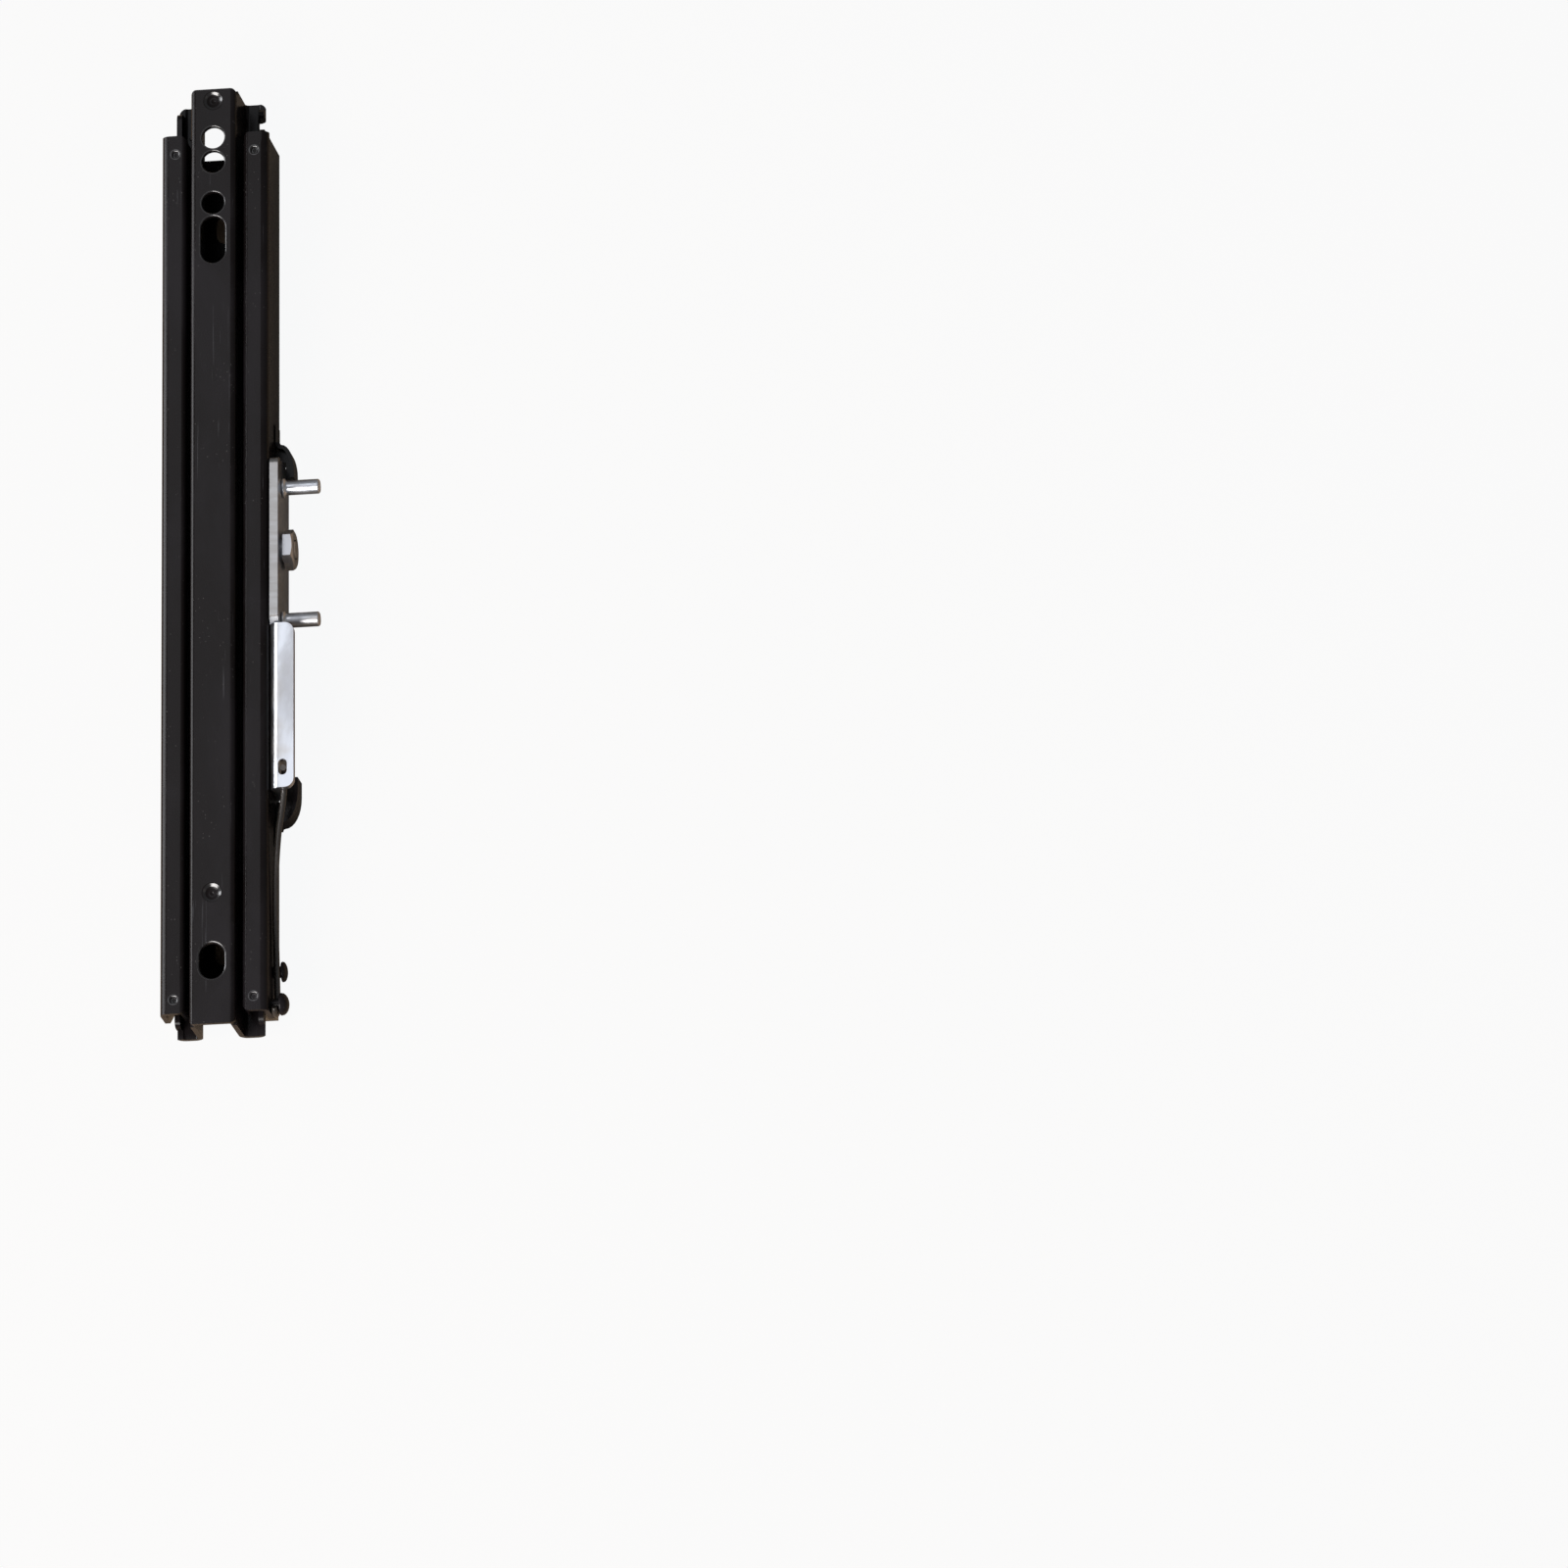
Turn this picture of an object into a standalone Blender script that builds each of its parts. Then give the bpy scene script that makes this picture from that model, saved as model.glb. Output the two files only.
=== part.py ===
"""Seat slide rail: an outer channel, a notched hat channel that slides in it on caged balls
and rollers, and the sprung lever that locks the two together.

Metres, +Z up. The origin is on the plane that the outer channel stands on, in the middle of
the hat channel's width and length. +Y runs to the rear end, and the lever is on the +X side.
"""
import math

import bmesh
import bpy
from mathutils import Matrix, Vector

# Outer channel
outer_front_setback = 0.0055
outer_rear_setback = 0.0170
outer_width = 0.0418
outer_height = 0.0270
outer_sheet = 0.0020
outer_bend = 0.0030
lip_bend = 0.0022
lip_width = 0.0100
lip_corner = 0.0030
stop_pocket_size = 0.0050
stop_pocket_depth = 0.0010
stop_pocket_rear_setback = 0.0075
stop_pocket_front_setback = 0.0055
stop_pocket_inset = 0.0005
stop_boss_size = 0.0040
wall_corner_cut = 0.0090
wall_corner_rise = 0.0140
rear_wall_setback = 0.0020
front_base_setback = 0.0030
base_hole_diameter = 0.0085
base_hole_front_setbacks = (0.0315, 0.0965)
base_hole_rear_setbacks = (0.1300, 0.0300)

# Hat channel
inner_length = 0.3740
inner_sheet = 0.0020
inner_bend = 0.0022
trough_bend = 0.0015
hat_side_gap = 0.0020
hat_rise = 0.0035
hat_corner = 0.0021
upturn_rise = 0.0059
upturn_end_setback = 0.0035
upturn_end_round = 0.0028
upturn_end_foot = 0.0006
trough_stop_setback = 0.0120
trough_stop_diameter = 0.0032
trough_stop_height = 0.0010
bolt_hole_diameter = 0.0087
bolt_hole_setbacks = (0.0197, 0.0296, 0.0463)
slot_width = 0.0095
rear_slot_setback = 0.0612
rear_slot_length = 0.0188
front_slot_setback = 0.0247
front_slot_length = 0.0137
rear_dimple_setback = 0.0047
front_dimple_setback = 0.0514
dimple_diameter = 0.0067
dimple_depth = 0.0010
dimple_rim = 0.0005

# Lock notches and the lever's teeth
lock_pitch = 0.0100
notch_width = 0.0046
notch_depth = 0.0031
notch_flare = 0.0018
notch_flare_drop = 0.0016
first_notch_setback = 0.0095
last_notch_setback = 0.0120
tooth_count = 4
tooth_width = 0.0032
tooth_thickness = 0.0030
tooth_root_gap = 0.0007
tooth_top_gap = 0.0004
tooth_window_gap = 0.0008
lock_angle = math.radians(5.0)

# Balls, rollers and their cages
running_gap = 0.0003
ball_diameter = 0.0050
ball_side_gap = 0.0007
balls_per_side = 4
ball_cage_length = 0.2360
ball_cage_centre = -0.0050
ball_cage_sheet = 0.0006
ball_cage_height = 0.0042
ball_cage_lift = 0.0009
ball_window_diameter = 0.0030
ball_end_margin = 0.0100
roller_diameter = 0.0050
roller_length = 0.0080
roller_end_gap = 0.0010
roller_edge = 0.00035
roller_cage_length = 0.0160
roller_cage_sheet = 0.0010
roller_window_gap = 0.0004
roller_cage_front_setback = 0.0615
roller_cage_rear_setback = 0.0600

# Lever, pivot and handle pins
lever_sheet = 0.0032
lever_wall_gap = 0.0004
lever_front = -0.0940
lever_rear = 0.0385
lever_bottom = 0.0025
lever_top = 0.0260
lever_corner = 0.0030
lever_flange_width = 0.0093
lever_flange_rear = -0.0285
lever_fold = 0.0008
lever_flange_corner = 0.0035
lever_front_depth = 0.0205
pivot_place = 0.0040
pivot_height = 0.0140
pivot_shoulder_diameter = 0.0100
pivot_thread_diameter = 0.0080
pivot_turning_gap = 0.0003
pivot_nut_flats = 0.0143
pivot_nut_height = 0.0038
pivot_nut_face = 0.0132
pivot_nut_crown_slope = 1.93
stud_seat_gap = 0.0001
stud_chamfer = 0.0007
pin_diameter = 0.0057
pin_shank_diameter = 0.0040
pin_chamfer = 0.0007
pin_reach = 0.0145
pin_collar_diameter = 0.0078
pin_collar_height = 0.0010
pin_places = (0.0284, -0.0248)
pin_height = 0.0160

# Guide ears
ear_sheet = 0.0016
ear_bottom = 0.0045
ear_top = 0.0135
ear_foot_length = 0.0080
ear_foot_bend = 0.0015
rear_ear_gap = 0.0075
rear_ear_reach = 0.0075
rear_ear_run = 0.0100
rear_ear_length = 0.0125
front_ear_gap = 0.0095
front_ear_reach = 0.0090
front_ear_run = 0.0110
front_ear_length = 0.0170

# Lock spring and its posts
wire_diameter = 0.0024
spring_eye_place = -0.0860
spring_eye_width = 0.0034
spring_eye_length = 0.0063
spring_eye_inset = 0.0012
spring_end_drop = 0.0012
spring_bend = 0.0025
spring_bow_gap = 0.0003
spring_bow_shares = (0.10, 0.33, 0.66)
spring_out_shares = (0.90, 0.32, 0.0)
spring_drop_shares = (0.0, 0.12, 0.45)
post_diameter = 0.0045
post_head_height = 0.0020
post_rim_height = 0.0005
rear_post_setback = 0.0184
rear_post_height = 0.0125
rear_post_reach = 0.0050
rear_post_head = 0.0078
front_post_setback = 0.0040
front_post_height = 0.0185
front_post_reach = 0.0067
front_post_head = 0.0086

# Clearance between fixed pieces, and how finely round pieces are cut
fit_gap = 0.0003
weld = 0.00001
facets_small = 20
facets_hole = 28

# Places that follow from the sizes above
inner_rear = inner_length / 2
inner_front = -inner_length / 2
outer_rear = inner_rear - outer_rear_setback
outer_front = inner_front + outer_front_setback
base_hole_places = ([outer_front + setback for setback in base_hole_front_setbacks]
                    + [outer_rear - setback for setback in base_hole_rear_setbacks])
bolt_hole_places = [inner_rear - setback for setback in bolt_hole_setbacks]
rear_slot_place = inner_rear - rear_slot_setback
front_slot_place = inner_front + front_slot_setback
stop_pocket_places = (outer_rear - stop_pocket_rear_setback,
                      outer_front + stop_pocket_front_setback)
dimple_places = (inner_rear - rear_dimple_setback, inner_front + front_dimple_setback)
wall_outside = outer_width / 2
wall_inside = wall_outside - outer_sheet
hem_inside = wall_outside - lip_width
hat_side = hem_inside - hat_side_gap
hat_top = outer_height + hat_rise
flange_bottom = outer_sheet + roller_diameter + 2 * running_gap
flange_top = flange_bottom + inner_sheet
ball_height = flange_top + running_gap + ball_diameter / 2
hem_bottom = ball_height + ball_diameter / 2 + running_gap
ball_place = hem_inside + outer_sheet / 2
upturn_inside = ball_place + ball_diameter / 2 + ball_side_gap
upturn_outside = upturn_inside + inner_sheet
upturn_top = flange_top + upturn_rise
roller_start = upturn_outside - roller_end_gap - roller_length
roller_cage_width = 2 * upturn_outside
roller_cage_places = (outer_front + roller_cage_front_setback,
                      outer_rear - roller_cage_rear_setback)
lever_inside = wall_outside + lever_wall_gap
lever_outside = lever_inside + lever_sheet
tooth_top = flange_bottom - tooth_top_gap
tooth_bottom = tooth_top - tooth_thickness
pivot_point = Vector((lever_inside, pivot_place, pivot_height))
spring_eye_x = lever_outside + (lever_flange_width - lever_sheet) / 2 - spring_eye_inset
rear_post_place = outer_front + rear_post_setback
front_post_place = outer_front + front_post_setback
rear_head_inside = wall_outside + rear_post_reach - post_head_height


def clear_scene():
    for item in list(bpy.data.objects):
        bpy.data.objects.remove(item, do_unlink=True)


def new_collection(name):
    collection = bpy.data.collections.new(name)
    bpy.context.scene.collection.children.link(collection)
    return collection


def make_material(name, colour, roughness, metallic):
    material = bpy.data.materials.new(name)
    material.use_nodes = True
    shader = material.node_tree.nodes["Principled BSDF"]
    shader.inputs["Base Color"].default_value = (*colour, 1.0)
    shader.inputs["Roughness"].default_value = roughness
    shader.inputs["Metallic"].default_value = metallic
    return material


def mesh_object(name, bm, collection, material=None):
    """Closes a bmesh into a named object."""
    mesh = bpy.data.meshes.new(name)
    bm.to_mesh(mesh)
    bm.free()
    item = bpy.data.objects.new(name, mesh)
    collection.objects.link(item)
    if material:
        mesh.materials.append(material)
    return item


def part(name, bm, material):
    return mesh_object(name, bm, parts, material)


def cutter(name, bm):
    """A guide solid that cuts or joins another and isn't part of the rail."""
    bmesh.ops.recalc_face_normals(bm, faces=bm.faces)
    item = mesh_object(name, bm, cutters)
    item.hide_render = True
    item.display_type = "WIRE"
    return item


def combine(target, tool, operation="DIFFERENCE"):
    step = target.modifiers.new(tool.name, "BOOLEAN")
    step.operation = operation
    step.solver = "EXACT"
    step.object = tool


def set_origin(item, point):
    """Moves an object's origin and leaves its shape where it is."""
    item.data.transform(Matrix.Translation(-Vector(point)))
    item.location = point


def shade_round(item, degrees=35):
    item.data.shade_smooth()
    item.data.set_sharp_from_angle(angle=math.radians(degrees))


def add_prism(bm, outline, frame, low, high):
    """Extrudes a flat outline; frame turns (u, v, w) into a place."""
    corners = [bm.verts.new(frame(u, v, low)) for u, v in outline]
    face = bm.faces.new(corners)
    grown = bmesh.ops.extrude_face_region(bm, geom=[face])
    moved = [item for item in grown["geom"] if isinstance(item, bmesh.types.BMVert)]
    shift = Vector(frame(0, 0, high)) - Vector(frame(0, 0, low))
    bmesh.ops.translate(bm, verts=moved, vec=shift)


def prism(outline, frame, low, high):
    bm = bmesh.new()
    add_prism(bm, outline, frame, low, high)
    bmesh.ops.recalc_face_normals(bm, faces=bm.faces)
    return bm


def seen_from_above(u, v, w):
    return (u, v, w)


def seen_from_side(u, v, w):
    return (w, u, v)


def rod(diameter, low, high, facets=facets_small):
    """A cylinder along X from low to high, on the X axis."""
    bm = bmesh.new()
    bmesh.ops.create_cone(bm, cap_ends=True, segments=facets, radius1=diameter / 2,
                          radius2=diameter / 2, depth=high - low)
    bmesh.ops.rotate(bm, verts=bm.verts, matrix=Matrix.Rotation(math.radians(90), 3, "Y"))
    bmesh.ops.translate(bm, verts=bm.verts, vec=((low + high) / 2, 0, 0))
    return bm


def shifted(bm, place):
    bmesh.ops.translate(bm, verts=bm.verts, vec=place)
    return bm


def box(low, high):
    bm = bmesh.new()
    bmesh.ops.create_cube(bm, size=1.0)
    size = Vector(high) - Vector(low)
    bmesh.ops.scale(bm, verts=bm.verts, vec=size)
    bmesh.ops.translate(bm, verts=bm.verts, vec=(Vector(high) + Vector(low)) / 2)
    return bm


def arc(centre, radius, start, end, steps):
    """Points along an arc, in degrees, both ends included."""
    points = []
    for i in range(steps + 1):
        angle = math.radians(start + (end - start) * i / steps)
        points.append((centre[0] + radius * math.cos(angle),
                       centre[1] + radius * math.sin(angle)))
    return points


def slot_outline(length, width, steps=12):
    """A slot along v with round ends, centred on the origin."""
    straight = (length - width) / 2
    return (arc((0, straight), width / 2, 0, 180, steps)
            + arc((0, -straight), width / 2, 180, 360, steps))


def corner_outline(corner, side_u, side_v, radius, steps=5):
    """The waste outside a rounded corner; the sides are +1 or -1, from the corner inwards."""
    u, v = corner
    spare = radius
    points = [(-spare, -spare), (radius, -spare), (radius, 0)]
    points += arc((radius, radius), radius, 270, 180, steps)[1:-1]
    points += [(0, radius), (-spare, radius)]
    return [(u + side_u * a, v + side_v * b) for a, b in points]


def face_outwards(bm, profile):
    """Turns a strip's faces to the left of its profile's direction, where its outer side is."""
    bm.normal_update()
    (x0, z0), (x1, z1) = profile[0], profile[1]
    outside = Vector((z0 - z1, 0, x1 - x0))
    first = min(bm.faces, key=lambda face: math.dist(
        face.calc_center_median().xz, ((x0 + x1) / 2, (z0 + z1) / 2)))
    if first.normal.dot(outside) < 0:
        bmesh.ops.reverse_faces(bm, faces=bm.faces)


def bent_sheet(name, profile, start, end, sheet, bends, material):
    """A strip folded along Y: the profile is its outer face, with a bend at each corner."""
    bm = bmesh.new()
    near = [bm.verts.new((x, start, z)) for x, z in profile]
    folds = [bm.edges.new(pair) for pair in zip(near, near[1:])]
    grown = bmesh.ops.extrude_edge_only(bm, edges=folds)
    moved = [item for item in grown["geom"] if isinstance(item, bmesh.types.BMVert)]
    bmesh.ops.translate(bm, verts=moved, vec=(0, end - start, 0))
    face_outwards(bm, profile)
    weight = bm.edges.layers.float.new("bevel_weight_edge")
    widest = max(bends)
    for edge in bm.edges:
        if len(edge.link_faces) == 2:
            x, z = edge.verts[0].co.x, edge.verts[0].co.z
            nearest = min(range(len(profile)), key=lambda i: math.dist(profile[i], (x, z)))
            edge[weight] = bends[nearest] / widest
    item = part(name, bm, material)
    bend = item.modifiers.new("bends", "BEVEL")
    bend.limit_method = "WEIGHT"
    bend.width = widest
    bend.segments = 4
    thicken = item.modifiers.new("sheet", "SOLIDIFY")
    thicken.thickness = sheet
    thicken.offset = -1
    thicken.use_even_offset = True
    return item


def notch_centres():
    """Every lock notch along the hat channel, from the rear end forwards."""
    first = inner_rear - first_notch_setback
    room = inner_length - first_notch_setback - last_notch_setback
    return [first - lock_pitch * i for i in range(int(room / lock_pitch) + 1)]


def tooth_places():
    """Where the teeth are at rest, so that each one swings up into the middle of a notch."""
    middle = (lever_front + pivot_place) / 2
    nearest = sorted(notch_centres(), key=lambda y: abs(y - middle))[:tooth_count]
    drop = (tooth_top + tooth_bottom) / 2 - pivot_height
    return [pivot_place + (y - pivot_place - drop * math.sin(lock_angle)) / math.cos(lock_angle)
            for y in sorted(nearest)]


def make_outer_channel():
    right = [(hem_inside, hem_bottom), (hem_inside, outer_height),
             (wall_outside, outer_height), (wall_outside, 0.0)]
    left = [(-x, z) for x, z in reversed(right)]
    bends = [0, lip_bend, outer_bend, outer_bend] + [outer_bend, outer_bend, lip_bend, 0]
    channel = bent_sheet("outer_channel", right + left, outer_front, outer_rear,
                         outer_sheet, bends, black)
    waste = bmesh.new()
    for end, inward in ((outer_rear, -1), (outer_front, 1)):
        for side in (1, -1):
            add_prism(waste, corner_outline((side * hem_inside, end), side, inward, lip_corner),
                      seen_from_above, hem_bottom - lip_corner, outer_height + lip_corner)
    combine(channel, cutter("lip_corners", waste))
    corner = bmesh.new()
    cut, rise = wall_corner_cut, wall_corner_rise
    chamfer = [(outer_front - cut, -rise), (outer_front + 2 * cut, -rise),
               (outer_front - cut, 2 * rise)]
    for side in (1, -1):
        low, high = sorted((side * (wall_inside - 2 * outer_bend), side * (wall_outside + cut)))
        add_prism(corner, chamfer, seen_from_side, low, high)
    combine(channel, cutter("front_base_corners", corner))
    wide = outer_width
    step_top = outer_height - outer_bend
    short = box((-wide, outer_rear - rear_wall_setback, -outer_sheet),
                (wide, outer_rear + outer_bend, step_top))
    combine(channel, cutter("rear_wall_step", short))
    short = box((-wide, outer_front - outer_bend, -outer_sheet),
                (wide, outer_front + front_base_setback, outer_sheet + lip_bend))
    combine(channel, cutter("front_base_step", short))
    holes = bmesh.new()
    for place in base_hole_places:
        outline = [(u, v + place) for u, v in slot_outline(base_hole_diameter * 1.5,
                                                           base_hole_diameter)]
        add_prism(holes, outline, seen_from_above, -outer_sheet, 2 * outer_sheet)
    combine(channel, cutter("base_holes", holes))
    windows = bmesh.new()
    half = tooth_width / 2 + tooth_window_gap
    for place in tooth_places():
        rise = abs(place - pivot_place) * math.sin(lock_angle)
        low, high = tooth_bottom - tooth_window_gap, tooth_top + rise + tooth_window_gap
        outline = [(place - half, low), (place + half, low), (place + half, high),
                   (place - half, high)]
        add_prism(windows, outline, seen_from_side, wall_inside - outer_sheet,
                  wall_outside + outer_sheet)
    combine(channel, cutter("tooth_windows", windows))
    pivot = shifted(rod(pivot_thread_diameter, wall_inside - outer_sheet,
                        wall_outside + outer_sheet), (0, pivot_place, pivot_height))
    combine(channel, cutter("pivot_hole", pivot))
    rivets = bmesh.new()
    for place, height in ((rear_post_place, rear_post_height),
                          (front_post_place, front_post_height)):
        outline = arc((place, height), post_diameter / 2 + fit_gap, 0, 360, facets_small)[:-1]
        add_prism(rivets, outline, seen_from_side, wall_inside - outer_sheet,
                  wall_outside + outer_sheet)
    combine(channel, cutter("rivet_holes", rivets))
    pocket_middle = wall_outside - lip_width / 2 - stop_pocket_inset
    half = stop_pocket_size / 2
    small_half = stop_boss_size / 2
    bosses = bmesh.new()
    hollows = bmesh.new()
    for side in (1, -1):
        for place in stop_pocket_places:
            x = side * pocket_middle
            square = [(x - half, place - half), (x + half, place - half),
                      (x + half, place + half), (x - half, place + half)]
            small = [(x - small_half, place - small_half), (x + small_half, place - small_half),
                     (x + small_half, place + small_half), (x - small_half, place + small_half)]
            under = outer_height - outer_sheet
            add_prism(bosses, small, seen_from_above, under - stop_pocket_depth,
                      under + outer_sheet / 4)
            add_prism(hollows, square, seen_from_above, outer_height - stop_pocket_depth,
                      outer_height + outer_sheet)
    combine(channel, cutter("stop_bosses", bosses), "UNION")
    combine(channel, cutter("stop_pockets", hollows))
    return channel


def make_inner_channel():
    right = [(hat_side, hat_top), (hat_side, flange_top), (upturn_inside, flange_top),
             (upturn_inside, upturn_top)]
    left = [(-x, z) for x, z in reversed(right)]
    bends = [0, trough_bend, trough_bend, inner_bend] + [inner_bend, trough_bend, trough_bend, 0]
    channel = bent_sheet("inner_channel", left + right, inner_front, inner_rear,
                         inner_sheet, bends, black)
    mouth_top = upturn_top + inner_sheet
    turn = upturn_top - notch_flare_drop
    half = notch_width / 2
    notch = [(-half, flange_bottom - inner_sheet), (half, flange_bottom - inner_sheet)]
    notch += arc((half + notch_flare, turn), notch_flare, 180, 90, 3)
    notch += [(half + notch_flare, mouth_top), (-half - notch_flare, mouth_top)]
    notch += arc((-half - notch_flare, turn), notch_flare, 90, 0, 3)
    comb = bmesh.new()
    for place in notch_centres():
        add_prism(comb, [(u + place, v) for u, v in notch], seen_from_side,
                  upturn_outside - notch_depth, upturn_outside + inner_sheet)
    combine(channel, cutter("lock_notches", comb))
    ends = bmesh.new()
    for end, inward in ((inner_rear, -1), (inner_front, 1)):
        for side in (1, -1):
            low, high = sorted((side * (upturn_inside - inner_sheet / 2),
                                side * (upturn_outside + inner_sheet)))
            add_prism(ends, upturn_end(end, inward), seen_from_side, low, high)
    combine(channel, cutter("upturn_ends", ends))
    corners = bmesh.new()
    for end, inward in ((inner_rear, -1), (inner_front, 1)):
        for side in (1, -1):
            add_prism(corners, corner_outline((side * hat_side, end), -side, inward, hat_corner),
                      seen_from_above, hat_top - inner_sheet - inner_bend, hat_top + inner_sheet)
    combine(channel, cutter("hat_corners", corners))
    holes = bmesh.new()
    low, high = hat_top - 2 * inner_sheet, hat_top + inner_sheet
    for place in bolt_hole_places:
        add_prism(holes, arc((0, place), bolt_hole_diameter / 2, 0, 360, facets_hole)[:-1],
                  seen_from_above, low, high)
    for place, length in ((rear_slot_place, rear_slot_length),
                          (front_slot_place, front_slot_length)):
        outline = [(u, v + place) for u, v in slot_outline(length, slot_width)]
        add_prism(holes, outline, seen_from_above, low, high)
    combine(channel, cutter("bolt_holes", holes))
    dimples = bmesh.new()
    radius = (dimple_diameter ** 2 / 4 + dimple_depth ** 2) / (2 * dimple_depth)
    for place in dimple_places:
        add_dome(dimples, (0, place), hat_top, radius)
    combine(channel, cutter("dimples", dimples))
    bumps = bmesh.new()
    pits = bmesh.new()
    trough = (hat_side + upturn_inside) / 2
    for side in (1, -1):
        place = (side * trough, inner_rear - trough_stop_setback)
        add_bump(bumps, place, flange_top - inner_sheet / 2, flange_top + trough_stop_height, 1.0)
        add_bump(pits, place, flange_bottom - inner_sheet, flange_bottom + trough_stop_height, 0.6)
    combine(channel, cutter("trough_stops", bumps), "UNION")
    combine(channel, cutter("trough_stop_pits", pits))
    return channel


def upturn_end(end, inward):
    """The waste off an end of an upturned edge, down to just above the flange."""
    foot = flange_top + upturn_end_foot
    start = end + inward * upturn_end_setback
    spare = upturn_end_round
    outline = [(end - inward * spare, foot), (start, foot)]
    middle = (start + inward * upturn_end_round, upturn_top - upturn_end_round)
    for u, v in arc((0, 0), upturn_end_round, 180, 90, 4):
        outline.append((middle[0] + inward * u, middle[1] + v))
    return outline + [(middle[0], upturn_top + spare), (end - inward * spare, upturn_top + spare)]


def add_bump(bm, centre, low, high, share):
    """A small tapered round block, for a stop that is pressed up out of a sheet."""
    foot = trough_stop_diameter / 2 * share
    made = bmesh.ops.create_cone(bm, cap_ends=True, segments=14, radius1=foot,
                                 radius2=foot - trough_stop_height / 2, depth=high - low)
    bmesh.ops.translate(bm, verts=made["verts"], vec=(*centre, (low + high) / 2))


def add_dome(bm, centre, surface, radius):
    """A shallow round pit: rings of a ball's cap that dips below the surface."""
    rings = 4
    widest = dimple_diameter / 2 + dimple_rim
    middle = surface - dimple_depth + radius
    points = []
    for i in range(rings + 1):
        across = widest * i / rings
        points.append((across, middle - math.sqrt(radius ** 2 - across ** 2)))
    points.append((widest, points[-1][1] + dimple_depth))
    points.append((0.0, points[-1][1]))
    verts = [bm.verts.new((centre[0] + x, centre[1], z)) for x, z in points]
    chain = [bm.edges.new(pair) for pair in zip(verts, verts[1:])]
    bmesh.ops.spin(bm, geom=verts + chain, cent=(*centre, 0), axis=(0, 0, 1),
                   angle=math.radians(360), steps=16, use_duplicate=False)
    bmesh.ops.remove_doubles(bm, verts=bm.verts, dist=weld)


def lever_outline():
    """The lever's side view, from the front end of its fold round to the rear end of it."""
    teeth = tooth_places()
    apron_front = min(teeth) - tooth_width
    apron_rear = max(teeth) + tooth_width
    heel = lever_top - lever_front_depth
    radius = lever_corner
    fold = lever_top - lever_sheet
    outline = [(lever_front, fold)]
    outline += arc((lever_front + radius, heel + radius), radius, 180, 270, 4)
    outline += [(apron_front - radius, heel), (apron_front, tooth_bottom),
                (apron_rear, tooth_bottom), (apron_rear + radius, lever_bottom)]
    outline += arc((lever_rear - radius * 2, lever_bottom + radius * 2), radius * 2, 270, 360, 5)
    outline += arc((lever_rear - radius, lever_top - radius), radius, 0, 90, 4)
    step = lever_top - fold
    outline += [(lever_flange_rear + step, lever_top), (lever_flange_rear, fold)]
    return outline


def make_lock_lever():
    bm = bmesh.new()
    verts = [bm.verts.new((lever_outside, y, z)) for y, z in lever_outline()]
    plate = bm.faces.new(verts)
    plate.normal_update()
    if plate.normal.x < 0:
        plate.normal_flip()
    fold_edge = bm.edges.get((verts[0], verts[-1]))
    grown = bmesh.ops.extrude_edge_only(bm, edges=[fold_edge])
    moved = [item for item in grown["geom"] if isinstance(item, bmesh.types.BMVert)]
    bmesh.ops.translate(bm, verts=moved, vec=(lever_flange_width - lever_sheet, 0, 0))
    weight = bm.edges.layers.float.new("bevel_weight_edge")
    fold_edge = next(edge for edge in bm.edges if len(edge.link_faces) == 2)
    fold_edge[weight] = 1.0
    lever = part("lock_lever", bm, zinc)
    bend = lever.modifiers.new("fold", "BEVEL")
    bend.limit_method = "WEIGHT"
    bend.width = lever_fold
    bend.segments = 3
    thicken = lever.modifiers.new("sheet", "SOLIDIFY")
    thicken.thickness = lever_sheet
    thicken.offset = -1
    thicken.use_even_offset = True
    teeth = bmesh.new()
    reach = upturn_outside - notch_depth + tooth_root_gap
    half = tooth_width / 2
    for place in tooth_places():
        outline = [(place - half, tooth_bottom), (place + half, tooth_bottom),
                   (place + half, tooth_top), (place - half, tooth_top)]
        add_prism(teeth, outline, seen_from_side, reach, lever_inside + lever_sheet / 2)
    combine(lever, cutter("lever_teeth", teeth), "UNION")
    round_off = bmesh.new()
    for end, inward in ((lever_front, 1), (lever_flange_rear, -1)):
        edge = (lever_inside + lever_flange_width, end)
        add_prism(round_off, corner_outline(edge, -1, inward, lever_flange_corner),
                  seen_from_above, lever_top - 2 * lever_sheet, lever_top + lever_sheet)
    combine(lever, cutter("flange_corners", round_off))
    eye = [(u + spring_eye_x, v + spring_eye_place)
           for u, v in slot_outline(spring_eye_length, spring_eye_width, 8)]
    combine(lever, cutter("spring_eye", prism(eye, seen_from_above, lever_top - 2 * lever_sheet,
                                              lever_top + lever_sheet)))
    bores = shifted(rod(pivot_shoulder_diameter + 2 * pivot_turning_gap,
                        lever_inside - lever_sheet, lever_outside + lever_sheet, facets_hole),
                    (0, pivot_place, pivot_height))
    combine(lever, cutter("lever_pivot_bore", bores))
    for number, place in enumerate(pin_places):
        hole = shifted(rod(pin_shank_diameter + 2 * fit_gap, lever_inside - lever_sheet,
                           lever_outside + lever_sheet), (0, place, pin_height))
        combine(lever, cutter(f"pin_hole_{number}", hole))
    set_origin(lever, pivot_point)
    return lever


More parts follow.
